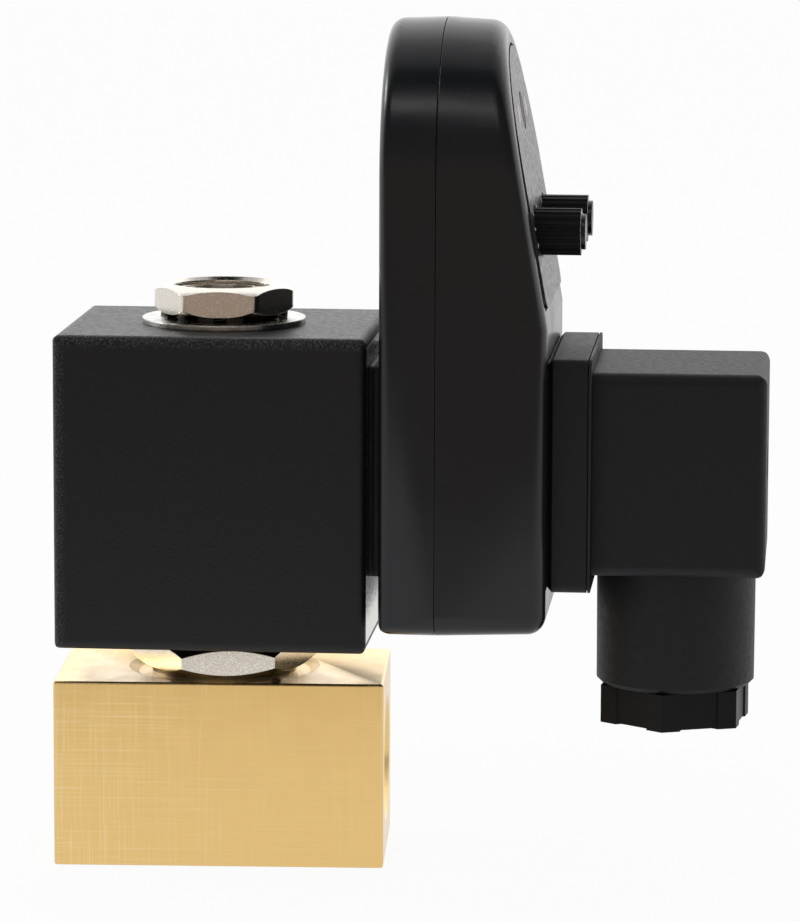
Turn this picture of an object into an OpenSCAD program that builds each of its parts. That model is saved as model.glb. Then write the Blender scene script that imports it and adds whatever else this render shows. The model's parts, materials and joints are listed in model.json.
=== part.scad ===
// Timer-controlled automatic drain valve for compressed-air systems.
// A brass two-way solenoid valve carries a coil on its core tube. A timer module
// is plugged onto the coil's connector base, and a square cable plug with its
// gland pointing down is plugged onto the timer.
// Units are millimetres. The origin is on the valve body's underside, on the
// core tube's axis. X runs along the ports, towards the plug; Z is up.

/* [Valve body] */
// Length of the brass block, port face to port face
body_l = 44.9; // [42:0.1:60]
// Depth of the brass block
body_d = 26; // [24:0.5:40]
// Height of the brass block
body_h = 25.5; // [25:0.5:36]
// Chamfer on the block's edges
body_chamfer = 0.25; // [0.1:0.05:0.6]
// Minor diameter of the port thread
port_d = 14.95; // [11:0.05:15.6]
// Depth of the port thread from the port face
port_depth = 10.5; // [8:0.5:10.5]
// Width of the chamfer at the port's mouth, beyond the thread
port_chamfer = 1.325; // [0.6:0.025:1.6]
// Bore of the seat's orifice
orifice_d = 4.6; // [2:0.1:5]
// Diameter of the dished spot face round the bonnet
spotface_d = 26.4; // [25:0.1:28]
// Depth of the spot face
spotface_depth = 0.7; // [0.3:0.1:1.2]

/* [Core tube] */
// Width across flats of the bonnet hexagon
bonnet_af = 22; // [20:0.5:24]
// Height of the bonnet hexagon
bonnet_h = 3.8; // [3:0.1:6]
// Outer diameter of the core tube
tube_d = 13; // [12:0.5:14]
// Diameter of the plunger
plunger_d = 9.92; // [8:0.02:9.92]
// Stroke of the plunger
plunger_stroke = 1.8; // [1:0.1:2.5]

/* [Coil] */
// Width of the coil along the plug axis
coil_w = 42.2; // [40:0.1:50]
// Depth of the coil
coil_d = 34.7; // [32:0.1:44]
// Height of the coil
coil_h = 42.65; // [40:0.05:55]
// Radius on the coil's moulded edges
coil_edge_r = 1.0; // [0.8:0.1:2.5]
// Angle at which the coil is clamped on its core tube, from the port axis
coil_turn = -3; // [-180:1:180]
// Diameter of the flat washer on the coil
washer_d = 22.3; // [20:0.1:24]
// Width across flats of the coil nut
nut_af = 17; // [16:0.5:19]
// Height of the coil nut
nut_h = 4.1; // [3:0.1:6]

/* [Connectors] */
// Side of the square connector base on the coil
base_side = 28.6; // [27:0.1:29]
// Height of the connectors' common axis above the coil's underside
connector_rise = 24.35; // [22:0.05:28]
// Thickness of the profile gasket between coil and timer
base_gasket_t = 1; // [0.8:0.1:2]
// Distance between the two live contacts
contact_pitch = 18; // [16:0.5:18]
// Side of the square collar on the timer's front
collar_side = 31.5; // [30:0.1:32]
// Length of the collar
collar_l = 5.25; // [3:0.05:7]

/* [Timer] */
// Thickness of the timer module at its foot
timer_t = 22.4; // [20:0.05:30]
// Width of the timer module
timer_w = 41; // [38:0.5:46]
// Height of the timer module
timer_h = 81.6; // [74:0.1:100]
// Height of the timer's foot above the valve body's underside
timer_foot = 33.6; // [30:0.1:36]
// Thickness of the rear shell, up to the parting line
rear_shell_t = 7.7; // [6:0.05:9]
// Wall thickness of both shells
shell_wall = 2.2; // [1.6:0.1:3]
// Radius on the front shell's outer edge
shell_edge_r = 2.5; // [1.5:0.1:3]
// Radius on the rear shell's outer edge
rear_edge_r = 1.9; // [1:0.1:3]
// Lean of the sloped front, from upright
face_angle = 9.8; // [6:0.1:13]
// Height above the foot at which the front starts to lean back
face_start = 41.3; // [40:0.1:46]
// Margin between the shell's outline and the face plate's recess
plate_margin = 3.2; // [3.1:0.1:5]

/* [Controls] */
// Diameter of the adjusting knobs
knob_d = 6.35; // [5:0.05:7]
// Length that a knob stands clear of the timer's upright front
knob_reach = 4.5; // [3:0.1:7]
// Distance between the knobs' axes
knob_pitch = 18; // [15:0.5:20]
// Height of the knobs above the timer's foot
knob_rise = 53.6; // [51:0.1:56]
// Number of grip flutes on a knob
knob_flutes = 20; // [12:1:24]
// Diameter of the test button
button_d = 4.6; // [4:0.1:6]

/* [Plug] */
// Side of the plug's square housing
plug_side = 27.5; // [26:0.1:29]
// Length of the plug's housing
plug_l = 23.3; // [22:0.1:30]
// Outer diameter of the gland's neck
gland_d = 21.7; // [20:0.1:24]
// Length of the gland's neck below the housing
gland_l = 16.5; // [12:0.5:20]
// Distance from the plug's inner end to the gland's axis
gland_x = 11.1; // [11.1:0.1:12.2]
// Bore of the gland nut, for the cable
cable_bore_d = 9.6; // [9:0.1:11]
// Visible height of the gland nut
gland_nut_h = 5.15; // [4:0.05:8]

/* [Hidden] */
$fn = 64;

// Clearances
eps = 0.01;             // overlap of a cut beyond the face that it opens
slip = 0.05;            // radial running clearance of a shaft or guided piece
seat_gap = 0.1;         // clearance round a piece that is held still in a pocket
free_gap = 0.3;         // clearance between moulded pieces that move on each other
rest_gap = 0.02;        // play between faces that turn on each other

// Valve body: the chamber below the bonnet and the passages
port_z = body_h / 2;
port_inner_x = body_l / 2 - port_depth;
bonnet_thread_d = 18;
bonnet_thread_l = 6.5;
bonnet_seat_z = body_h - spotface_depth;
spotface_slope = 1.4;
ledge_z = body_h - bonnet_thread_l;
chamber_d = 15.2;
chamber_floor_z = body_h - 10.9;
seat_h = 2;
seat_foot_w = 2;
seat_lip_w = 0.8;
seat_z = chamber_floor_z + seat_h;
inlet_d = 4.4;
inlet_z = chamber_floor_z + inlet_d / 2 + 0.1;
outlet_d = 5.4;
outlet_z = chamber_floor_z - 3.2 - outlet_d / 2;

// O-ring on the chamber's ledge
o_ring_wire_d = 1.45;
o_ring_mid_r = bonnet_thread_d / 2 - slip - o_ring_wire_d / 2;

// Core tube and plunger
spigot_bottom_z = ledge_z + o_ring_wire_d + slip;
spigot_wall = 1.7;
bonnet_flange_h = 1.1;
bonnet_flange_d = bonnet_af - 2;
bonnet_crown = 0.6;
tube_chamfer = 0.6;
bonnet_z = bonnet_seat_z + bonnet_flange_h;
bonnet_top_z = bonnet_z + bonnet_h;
coil_ring_h = 0.9;
coil_z = bonnet_top_z + coil_ring_h;
coil_top_z = coil_z + coil_h;
guide_d = plunger_d + 2 * (slip - 0.01);
spring_room_top = bonnet_z + 1.5;
seal_h = 2.8;
seal_proud = 0.3;
seal_pocket_d = plunger_d - 2.72;
relief_w = 1.6;
relief_depth = 0.6;
plunger_z = seat_z + seal_proud;
plunger_flange_h = 1.7;
plunger_flange_d = 13.2;
plunger_top_z = coil_z + 12.4;
core_gap = 0.2;
core_z = plunger_top_z + plunger_stroke + core_gap;
core_setback = 0.8;
ring_groove_h = 1.6;
ring_groove_w = 1.3;
ring_groove_d = guide_d - 1.8;
spring_wire_d = 0.8;
spring_mid_r = plunger_d / 2 + spring_wire_d / 2 + 0.55;
spring_turns = 5;
spring_z = plunger_z + plunger_flange_h;
washer_t = 0.75;
lock_washer_t = 0.6;
washer_z = coil_top_z + rest_gap;
lock_washer_z = washer_z + washer_t;
nut_z = lock_washer_z + lock_washer_t;
nut_recess = 0.9;
nut_crown = 0.8;
nut_chamfer = 0.5;
washer_bore_d = tube_d + 0.4;
lock_washer_d = 15.6;
tooth_reach = 8.7;
tooth_w = 1.8;
tooth_step = 30;
tube_top_z = nut_z + nut_h - nut_recess;
tube_gap = 0.15;
bonnet_twist = 6.5;
nut_twist = -1.1;

// Coil: the yoke frame, bobbin and winding moulded into the housing. The yoke's leg
// under the connector is bare and flush with the housing's side.
connector_z = coil_z + connector_rise;
yoke_t = 3;
yoke_cover = 4.45;
yoke_border = coil_edge_r + 0.3;
yoke_left_x = yoke_cover - coil_w / 2;
yoke_w = coil_w / 2 - yoke_left_x;
yoke_d = coil_d - 2 * yoke_border;
yoke_h = coil_h - 2 * yoke_border;
yoke_z = coil_z + yoke_border;
yoke_window = 22;
bobbin_h = yoke_h - 2 * yoke_t;
bobbin_z = yoke_z + yoke_t;
bobbin_flange_t = 1.5;
bobbin_flange_d = -2 * (yoke_left_x + yoke_t) - 0.6;
bobbin_tube_d = tube_d + 3;
winding_d = bobbin_flange_d - 0.6;

// Connectors along X
base_x = coil_w / 2;
base_l = 0.85;
base_corner_r = 1.2;
gasket_x = base_x + base_l;
timer_x = gasket_x + base_gasket_t;
timer_front_x = timer_x + timer_t;
collar_end_x = timer_front_x + collar_l;
collar_chamfer = 0.6;
plug_gasket_neck_t = 0.15;
plug_gasket_lip_t = 0.35;
plug_x = collar_end_x + plug_gasket_neck_t + plug_gasket_lip_t;
plug_end_x = plug_x + plug_l;
blade_w = 6.3;
blade_t = 0.8;
earth_drop = 8.6;
socket_side = 24;
contact_reach = 9;
base_wall = 2.5;
screw_d = 3;
screw_hole_d = 3.6;
screw_head_d = 5.8;
screw_head_h = 1.9;
screw_head_sink = 0.4;
screw_slot_w = 0.8;
screw_slot_depth = 0.9;
screw_tip_x = base_x - 3.6;

// Timer module
parting_x = timer_x + rear_shell_t;
arch_r = timer_w / 2;
arch_z = timer_foot + timer_h - arch_r;
foot_corner_r = 3;
mould_draft = 0.35;
rear_draft = 0.2;
face_z = timer_foot + face_start;
seam_gap = 0.12;
board_t = 1.6;
board_margin = 1.0;
boss_d = 6;
boss_bore_d = 3;
boss_inset = 5.7;
boss_top_inset = 9;
boss_foot_rise = 6.2;
boss_top_rise = 8.3;
boss_spots = [
    for (side = [-1, 1]) [side * (arch_r - boss_inset), timer_foot + boss_foot_rise],
    for (side = [-1, 1]) [side * (arch_r - boss_top_inset), arch_z + boss_top_rise]
];
case_screw_d = 2.8;
case_screw_head_d = 5.2;
case_screw_head_h = 1.6;
case_screw_x = timer_x + 0.4;
case_screw_grip = 2.85;
boss_bore_depth = case_screw_grip + 1.5;
cross_w = 0.6;
cross_l = 3;
cross_depth = 0.8;

// Face plate, lenses and button, on the sloped front
plate_recess = 0.6;
plate_gap = 0.4;
plate_foot = 2.25;
plate_arch_rise = (arch_z - face_z) / cos(face_angle);
plate_top = plate_arch_rise + arch_r - plate_margin;
plate_foot_proud = 0.35;
plate_top_proud = 0.05;
control_row = 28.1;
lens_d = 3;
lens_pitch = 14;
button_flange_h = 1;
button_flange_d = button_d + 2;
button_travel = 0.8;
button_inner = shell_wall + free_gap + button_flange_h;

// Knobs and potentiometers
knob_z = timer_foot + knob_rise;
knob_tip_x = timer_front_x + knob_reach;
knob_step_d = 4.8;
knob_step_h = 0.6;
knob_shaft_d = 3;
knob_root_x = timer_front_x - 5.4;
flute_d = 0.62;
flute_depth = 0.19;
pot_side = 9.4;
pot_t = 4.8;
switch_side = 6;
switch_t = 2.2;
switch_cap_d = 2;
switch_cap_t = 0.8;
switch_gap = 0.35;

// Circuit board: its switch stands just clear of the test button, and the coil's
// contacts end just short of it
board_front_x = timer_front_x - control_row * sin(face_angle) - button_inner * cos(face_angle)
    - button_travel - switch_gap - switch_cap_t - switch_t;
board_x = board_front_x - board_t;
coil_contact_end_x = board_x - 1.4;
case_screw_l = board_front_x + case_screw_grip - case_screw_x - case_screw_head_h;
relay = [5.5, 7, 16];
supply_capacitor = [6, 8, 14];
electrolytic_d = 7;
electrolytic_h = 7.5;
pot_floor_t = 0.8;
shaft_end_gap = 0.3;

// Plug and gland
plug_wall = 2;
plug_edge_r = 1.5;
plug_half = plug_side / 2;
block_l = 9.5;
terminal_bore_d = 2.6;
terminal_depth = 3;
terminal_inset = 2.4;
terminal_drop = 6.5;
gland_axis_x = plug_x + gland_x;
gland_top_z = connector_z - plug_half;
gland_end_z = gland_top_z - gland_l;
gland_bore_d = gland_d - 4.1;
gland_bore_l = gland_l - 3;
gland_taper = 0.15;
gland_chamfer = 0.6;
cable_way_d = 11;
gland_spigot_l = 6.3;
gland_washer_t = 1;
gland_seal_bore_d = 8.7;
gland_nut_z = gland_end_z - seat_gap - gland_nut_h;
gland_nut_r = 10.8;
gland_nut_twist = 22.3;
gland_pad_w = 4.6;
gland_pad_step = 0.25;

// ---- Shared shapes ----

// Places the coil and all that is plugged onto it at the clamped angle
module on_coil() rotate([0, 0, coil_turn]) children();

// A cylinder along X from x0, length l
module rod_x(x0, l, d) translate([x0, 0, 0]) rotate([0, 90, 0]) cylinder(h = l, d = d);

// A flat shape drawn in (Y, Z), given thickness t along X from x0
module slab_x(x0, t) translate([x0, 0, 0]) rotate([90, 0, 90]) linear_extrude(t) children();

// A rectangle with true round corners, centred
module rounded_rect(w, h, r) {
    square([w - 2 * r, h], center = true);
    square([w, h - 2 * r], center = true);
    for (x = [-1, 1], y = [-1, 1])
        translate([x * (w / 2 - r), y * (h / 2 - r)]) circle(r);
}

// A square plate about the connector axis
module connector_slab(x0, t, side, r)
    slab_x(x0, t) translate([0, connector_z]) rounded_rect(side, side, r);

// A box with chamfered edges, standing on z = 0
module chamfered_box(size, c) {
    module outline(w, h)
        polygon([[-w / 2 + c, 0], [w / 2 - c, 0], [w / 2, c], [w / 2, h - c],
                 [w / 2 - c, h], [-w / 2 + c, h], [-w / 2, h - c], [-w / 2, c]]);
    intersection() {
        linear_extrude(size.z) translate([0, -size.y / 2]) outline(size.x, size.y);
        translate([0, size.y / 2, 0]) rotate([90, 0, 0]) linear_extrude(size.y) outline(size.x, size.z);
        translate([-size.x / 2, 0, 0]) rotate([90, 0, 90]) linear_extrude(size.x) outline(size.y, size.z);
    }
}

// A hexagon with its corners turned off at both ends, as on a nut
module turned_hex(af, h, flat_d) {
    corner_d = af / cos(30);
    rise = (corner_d - flat_d) / 2 * tan(30);
    intersection() {
        cylinder(h = h, d = corner_d, $fn = 6);
        rotate_extrude()
            polygon([[0, 0], [flat_d / 2, 0], [corner_d / 2, rise], [corner_d / 2, h - rise],
                     [flat_d / 2, h], [0, h]]);
    }
}

// The three flat contacts, from x0, length l, wider by grow on each side
module contact_blades(x0, l, grow = 0) {
    for (side = [-1, 1])
        translate([x0, side * contact_pitch / 2 - blade_t / 2 - grow, connector_z - blade_w / 2 - grow])
            cube([l, blade_t + 2 * grow, blade_w + 2 * grow]);
    translate([x0, -blade_w / 2 - grow, connector_z - earth_drop - blade_t / 2 - grow])
        cube([l, blade_w + 2 * grow, blade_t + 2 * grow]);
}

// ---- Valve ----

module valve_body() color("#d9b66f") difference() {
    union() {
        difference() {
            chamfered_box([body_l, body_d, body_h], body_chamfer);
            // dished spot face, then the bonnet thread and the chamber below it
            translate([0, 0, bonnet_seat_z])
                cylinder(h = spotface_depth + eps, d1 = spotface_d - 2 * spotface_slope, d2 = spotface_d);
            translate([0, 0, ledge_z]) cylinder(h = body_h, d = bonnet_thread_d);
            translate([0, 0, chamber_floor_z]) cylinder(h = body_h, d = chamber_d);
        }
        // raised seat
        translate([0, 0, chamber_floor_z - eps])
            cylinder(h = seat_z - chamber_floor_z + eps, d1 = orifice_d + 2 * seat_foot_w,
                     d2 = orifice_d + 2 * seat_lip_w);
    }
    translate([0, 0, outlet_z]) cylinder(h = body_h, d = orifice_d);
    for (side = [-1, 1]) translate([0, 0, port_z]) {
        rotate([0, side * 90, 0]) translate([0, 0, port_inner_x]) cylinder(h = body_l, d = port_d);
        rotate([0, side * 90, 0]) translate([0, 0, body_l / 2 - port_chamfer])
            cylinder(h = port_chamfer + eps, d1 = port_d, d2 = port_d + 2 * (port_chamfer + eps));
    }
    // inlet passage into the chamber, outlet passage from below the seat
    translate([-chamber_d / 2 + 1, 0, inlet_z]) rotate([0, -90, 0])
        cylinder(h = port_inner_x - chamber_d / 2 + 2, d = inlet_d);
    translate([0, 0, outlet_z]) rotate([0, 90, 0]) cylinder(h = port_inner_x + 1, d = outlet_d);
}

module ring_of_wire(mid_r, wire_d) rotate_extrude() translate([mid_r, 0]) circle(d = wire_d);

module bonnet_o_ring() color("#1b1b1c")
    translate([0, 0, ledge_z + o_ring_wire_d / 2]) ring_of_wire(o_ring_mid_r, o_ring_wire_d);

module core_tube() color("#c9c6c0") difference() {
    union() {
        translate([0, 0, spigot_bottom_z])
            cylinder(h = bonnet_z - spigot_bottom_z, d = bonnet_thread_d - 2 * seat_gap);
        translate([0, 0, bonnet_seat_z]) cylinder(h = bonnet_flange_h + eps, d = bonnet_flange_d);
        translate([0, 0, bonnet_z]) rotate([0, 0, bonnet_twist])
            turned_hex(bonnet_af, bonnet_h, bonnet_af - bonnet_crown);
        translate([0, 0, bonnet_z]) cylinder(h = tube_top_z - tube_chamfer - bonnet_z, d = tube_d);
        translate([0, 0, tube_top_z - tube_chamfer - eps])
            cylinder(h = tube_chamfer + eps, d1 = tube_d, d2 = tube_d - 2 * tube_chamfer);
    }
    translate([0, 0, spigot_bottom_z - eps])
        cylinder(h = spring_room_top - spigot_bottom_z + eps, d = bonnet_thread_d - 2 * spigot_wall);
    translate([0, 0, spigot_bottom_z]) cylinder(h = tube_top_z, d = guide_d);
}

module fixed_core() color("#a9a7a2") difference() {
    translate([0, 0, core_z]) cylinder(h = tube_top_z - core_z - core_setback, d = guide_d - 2 * seat_gap);
    // groove for the shading ring in the pole face
    translate([0, 0, core_z - eps]) difference() {
        cylinder(h = ring_groove_h + eps, d = ring_groove_d);
        translate([0, 0, -eps]) cylinder(h = ring_groove_h + 1, d = ring_groove_d - 2 * ring_groove_w);
    }
}

module shading_ring() color("#b8713f") translate([0, 0, core_z]) difference() {
    cylinder(h = ring_groove_h - seat_gap, d = ring_groove_d - 2 * seat_gap);
    translate([0, 0, -eps])
        cylinder(h = ring_groove_h + 1, d = ring_groove_d - 2 * ring_groove_w + 2 * seat_gap);
}

module plunger() color("#b3b1ac") difference() {
    union() {
        translate([0, 0, plunger_z]) cylinder(h = plunger_flange_h, d = plunger_flange_d);
        translate([0, 0, plunger_z]) cylinder(h = plunger_top_z - plunger_z, d = plunger_d);
    }
    translate([0, 0, plunger_z - eps]) cylinder(h = seal_h - seal_proud + eps, d = seal_pocket_d);
    // two relief slots let air past the plunger
    for (side = [-1, 1])
        translate([side * plunger_d / 2 - relief_depth, -relief_w / 2, spring_z + 0.4])
            cube([2 * relief_depth, relief_w, plunger_top_z - spring_z]);
}

module plunger_seal() color("#22262b")
    translate([0, 0, seat_z]) cylinder(h = seal_h, d = seal_pocket_d - 2 * seat_gap);

// Height of the wire's centre after a number of turns; the end turns lie flat
function spring_wire_z(turn) = spring_z + spring_wire_d / 2
    + (spring_room_top - spring_z - spring_wire_d)
        * max(0, min(1, (turn - 0.75) / (spring_turns - 1.5)));

// One closed helix of round wire
module plunger_spring() {
    sides = 8;
    steps = 20;
    rings = spring_turns * steps;
    points = [
        for (i = [0 : rings], j = [0 : sides - 1])
            let (a = 360 * i / steps, b = 360 * j / sides,
                 r = spring_mid_r + spring_wire_d / 2 * cos(b))
            [r * cos(a), r * sin(a), spring_wire_z(i / steps) + spring_wire_d / 2 * sin(b)]
    ];
    faces = concat(
        [for (i = [0 : rings - 1], j = [0 : sides - 1])
            let (k = (j + 1) % sides)
            [i * sides + j, i * sides + k, (i + 1) * sides + k, (i + 1) * sides + j]],
        [[for (j = [sides - 1 : -1 : 0]) j]],
        [[for (j = [0 : sides - 1]) rings * sides + j]]
    );
    color("#9d9b97") polyhedron(points, faces);
}

// ---- Coil ----

// A moulded block with every edge rounded by r, standing on z = 0
module rounded_block(size, r) intersection() {
    linear_extrude(size.z) rounded_rect(size.x, size.y, r);
    translate([0, size.y / 2, size.z / 2]) rotate([90, 0, 0])
        linear_extrude(size.y) rounded_rect(size.x, size.z, r);
    translate([-size.x / 2, 0, size.z / 2]) rotate([90, 0, 90])
        linear_extrude(size.x) rounded_rect(size.y, size.z, r);
}

module coil_housing() color("#242527") on_coil() difference() {
    union() {
        translate([0, 0, coil_z]) rounded_block([coil_w, coil_d, coil_h], coil_edge_r);
        connector_slab(base_x - 1, base_l + 1, base_side, base_corner_r);
    }
    translate([0, 0, coil_z - eps]) cylinder(h = coil_h + 1, d = tube_d + 2 * tube_gap);
    // the space that the yoke and winding fill
    yoke_frame();
    translate([0, 0, bobbin_z]) cylinder(h = bobbin_h, d = bobbin_flange_d + 2 * seat_gap);
    contact_blades(base_x - contact_reach / 2, contact_reach, slip);
    translate([0, 0, connector_z]) rod_x(screw_tip_x - 0.5, 8, screw_d + 2 * seat_gap);
}

// A closed frame of steel strip, with a window that the connector's resin passes through
module yoke_frame() difference() {
    translate([yoke_left_x, -yoke_d / 2, yoke_z]) cube([yoke_w, yoke_d, yoke_h]);
    translate([yoke_left_x + yoke_t, -yoke_d, bobbin_z]) cube([yoke_w - 2 * yoke_t, 2 * yoke_d, bobbin_h]);
    slab_x(coil_w / 2 - yoke_t - 1, yoke_t + 2) translate([0, connector_z]) square(yoke_window, center = true);
}

module magnet_yoke() color("#8d8f90") on_coil() difference() {
    yoke_frame();
    translate([0, 0, coil_z]) cylinder(h = coil_h, d = tube_d + 0.6);
}

module coil_bobbin() color("#e6e0d0") on_coil() difference() {
    union() {
        translate([0, 0, bobbin_z]) cylinder(h = bobbin_h, d = bobbin_tube_d);
        for (z = [bobbin_z, bobbin_z + bobbin_h - bobbin_flange_t])
            translate([0, 0, z]) cylinder(h = bobbin_flange_t, d = bobbin_flange_d);
    }
    translate([0, 0, bobbin_z - eps]) cylinder(h = bobbin_h + 1, d = tube_d + 0.6);
}

module copper_winding() color("#b5652f") on_coil() difference() {
    h = bobbin_h - 2 * bobbin_flange_t;
    z = bobbin_z + bobbin_flange_t;
    translate([0, 0, z]) cylinder(h = h, d = winding_d);
    translate([0, 0, z - eps]) cylinder(h = h + 1, d = bobbin_tube_d + 2 * seat_gap);
}

module coil_contacts() color("#c8c8c4") on_coil()
    contact_blades(base_x - contact_reach / 2, contact_reach / 2 + coil_contact_end_x - base_x);

module coil_o_ring() color("#1b1b1c") translate([0, 0, bonnet_top_z]) difference() {
    cylinder(h = coil_ring_h, d = tube_d + 4);
    translate([0, 0, -eps]) cylinder(h = 2, d = tube_d + 2 * seat_gap);
}

module flat_washer() color("#cfccc6") translate([0, 0, washer_z]) difference() {
    cylinder(h = washer_t, d = washer_d);
    translate([0, 0, -eps]) cylinder(h = 2, d = washer_bore_d);
}

// Lock washer with teeth round its outside
module lock_washer() color("#b9b6b0") translate([0, 0, lock_washer_z]) difference() {
    union() {
        cylinder(h = lock_washer_t, d = lock_washer_d);
        for (a = [0 : tooth_step : 359]) rotate([0, 0, a])
            translate([0, -tooth_w / 2, 0]) cube([tooth_reach, tooth_w, lock_washer_t]);
    }
    translate([0, 0, -eps]) cylinder(h = 2, d = washer_bore_d);
}

module coil_nut() color("#cfccc6") translate([0, 0, nut_z]) difference() {
    rotate([0, 0, nut_twist]) turned_hex(nut_af, nut_h, nut_af - nut_crown);
    translate([0, 0, -eps]) cylinder(h = nut_h + 1, d = tube_d + 2 * seat_gap);
    translate([0, 0, nut_h - nut_chamfer])
        cylinder(h = nut_chamfer + eps, d1 = tube_d, d2 = tube_d + 2 * nut_chamfer);
}

// ---- Timer module ----

// Outline of the timer in (Y, Z), drawn smaller by inset
module timer_outline(inset) {
    w = timer_w - 2 * inset;
    foot = timer_foot + inset;
    r = max(foot_corner_r - inset, 0.4);
    translate([0, arch_z]) circle(arch_r - inset);
    translate([-w / 2, foot + r]) square([w, arch_z - foot - r]);
    translate([-w / 2 + r, foot]) square([w - 2 * r, 2 * r]);
    for (side = [-1, 1]) translate([side * (w / 2 - r), foot + r]) circle(r);
}

// Points along the outline drawn smaller by inset, as [y, z]
function rim(inset) = let (
        r = foot_corner_r - inset, y = timer_w / 2 - inset, foot = timer_foot + inset,
        corner = max(r, 0.3), arch_steps = 36)
    concat(
        [for (i = [0 : arch_steps])
            let (a = 180 * i / arch_steps)
            [(arch_r - inset) * cos(a), arch_z + (arch_r - inset) * sin(a)]],
        [for (side = [-1, 1], a = [0, 45, 90])
            [side * (y - corner + corner * cos(a)), foot + corner - corner * sin(a)]],
        [for (side = [-1, 1]) [side * y, face_bend_z]]
    );

// Height at which the centres of the front edge's rounding start to lean back
face_bend_z = face_z - shell_edge_r * tan(face_angle / 2);

// X of the centre of the front edge's rounding at height z
function front_rim_x(z) = timer_front_x - shell_edge_r
    - max(0, z - face_bend_z) * tan(face_angle);

// Square collar on the timer's front, its edges chamfered where it meets the face
module collar() {
    root_side = collar_side - 2 * collar_chamfer;
    connector_slab(timer_front_x - shell_wall, shell_wall + eps, root_side, base_corner_r);
    hull() {
        connector_slab(timer_front_x, eps, root_side, base_corner_r, $fn = 32);
        connector_slab(timer_front_x + collar_chamfer, collar_l - collar_chamfer, collar_side,
                       base_corner_r, $fn = 32);
    }
}

// Half section of the rear shell's solid form: (distance from the middle, X), with
// draft towards the rear and a rounded edge
module rear_section() {
    edge = arch_r - rear_draft;
    polygon([[0, timer_x], [edge - rear_edge_r, timer_x], [edge, timer_x + rear_edge_r],
             [arch_r, parting_x], [0, parting_x]]);
    translate([edge - rear_edge_r, timer_x + rear_edge_r]) circle(rear_edge_r);
}

// Solid form of the rear shell: a turned arch on a block with the same section
module rear_form() {
    translate([0, 0, arch_z]) rotate([0, 90, 0]) rotate([0, 0, 90])
        rotate_extrude(angle = 180) rear_section();
    intersection() {
        translate([0, 0, timer_foot]) linear_extrude(arch_z - timer_foot) rotate(-90) {
            rear_section();
            mirror([1, 0]) rear_section();
        }
        translate([0, timer_w, timer_foot + arch_r]) rotate([90, 0, 0]) linear_extrude(2 * timer_w) {
            rotate(-90) rear_section();
            translate([timer_x, 0]) square([rear_shell_t, timer_h]);
        }
        slab_x(timer_x, rear_shell_t) timer_outline(0);
    }
}

// Solid form of the front shell, its rim following the sloped front
module front_form() intersection() {
    hull() {
        for (p = rim(shell_edge_r + mould_draft))
            translate([front_rim_x(p.y), p.x, p.y]) sphere(shell_edge_r, $fn = 32);
        slab_x(parting_x, 0.5) timer_outline(0);
    }
    slab_x(parting_x, timer_t) translate([-timer_w, 0]) square([2 * timer_w, timer_foot + 2 * timer_h]);
}

// The upright lower face and the sloped upper face, set back by depth, as a
// half-space that is kept: everything behind them
module behind_face(depth) {
    top = timer_h - face_start + 10;
    lean = tan(face_angle);
    x = timer_front_x - depth;
    translate([0, timer_w, 0]) rotate([90, 0, 0]) linear_extrude(2 * timer_w)
        polygon([[parting_x - 2, timer_foot - 5], [x, timer_foot - 5], [x, face_z],
                 [x - top * lean, face_z + top], [parting_x - 2, face_z + top]]);
}

// Local frame of the sloped front: X out of the face, Z up along it
module on_face() translate([timer_front_x, 0, face_z]) rotate([0, -face_angle, 0]) children();

// Outline of the face plate in the sloped front's (Y, Z)
module plate_outline(inset) {
    r = arch_r - plate_margin - inset;
    translate([0, plate_arch_rise]) circle(r);
    translate([-r, plate_foot + inset + 2]) square([2 * r, plate_arch_rise - plate_foot - inset - 2]);
    translate([-r + 2, plate_foot + inset]) square([2 * r - 4, 4]);
    for (side = [-1, 1]) translate([side * (r - 2), plate_foot + inset + 2]) circle(2);
}

module for_bosses() for (p = boss_spots) translate([0, p.x, p.y]) children();
module for_knobs() for (side = [-1, 1]) translate([0, side * knob_pitch / 2, knob_z]) children();

module base_gasket() color("#161617") on_coil() difference() {
    connector_slab(gasket_x, base_gasket_t, base_side, base_corner_r);
    connector_slab(gasket_x - 1, base_gasket_t + 2, base_side - 2 * base_wall, 0.5);
}

module timer_rear_shell() color("#1f2021") on_coil() difference() {
    union() {
        difference() {
            rear_form();
            slab_x(timer_x + shell_wall, rear_shell_t) timer_outline(shell_wall);
        }
        for_bosses() rod_x(timer_x + 1, board_x - timer_x - 1, boss_d);
    }
    connector_slab(timer_x - 1, shell_wall + 2, socket_side + 2 * seat_gap, 0.6);
    for_bosses() {
        rod_x(timer_x - 1, board_x, boss_bore_d);
        rod_x(timer_x - 1, case_screw_x + case_screw_head_h - timer_x + 1, case_screw_head_d + 2 * seat_gap);
    }
    // shadow line round the parting
    slab_x(parting_x - seam_gap, 1) difference() {
        timer_outline(-1);
        timer_outline(0.35);
    }
}

module timer_socket() color("#2a2b2c") on_coil() difference() {
    connector_slab(timer_x + 0.2, board_x - timer_x - 0.2, socket_side, 0.5);
    contact_blades(timer_x - 1, board_x - timer_x, seat_gap);
    translate([0, 0, connector_z]) rod_x(timer_x - 1, timer_t, screw_hole_d);
}

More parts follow.
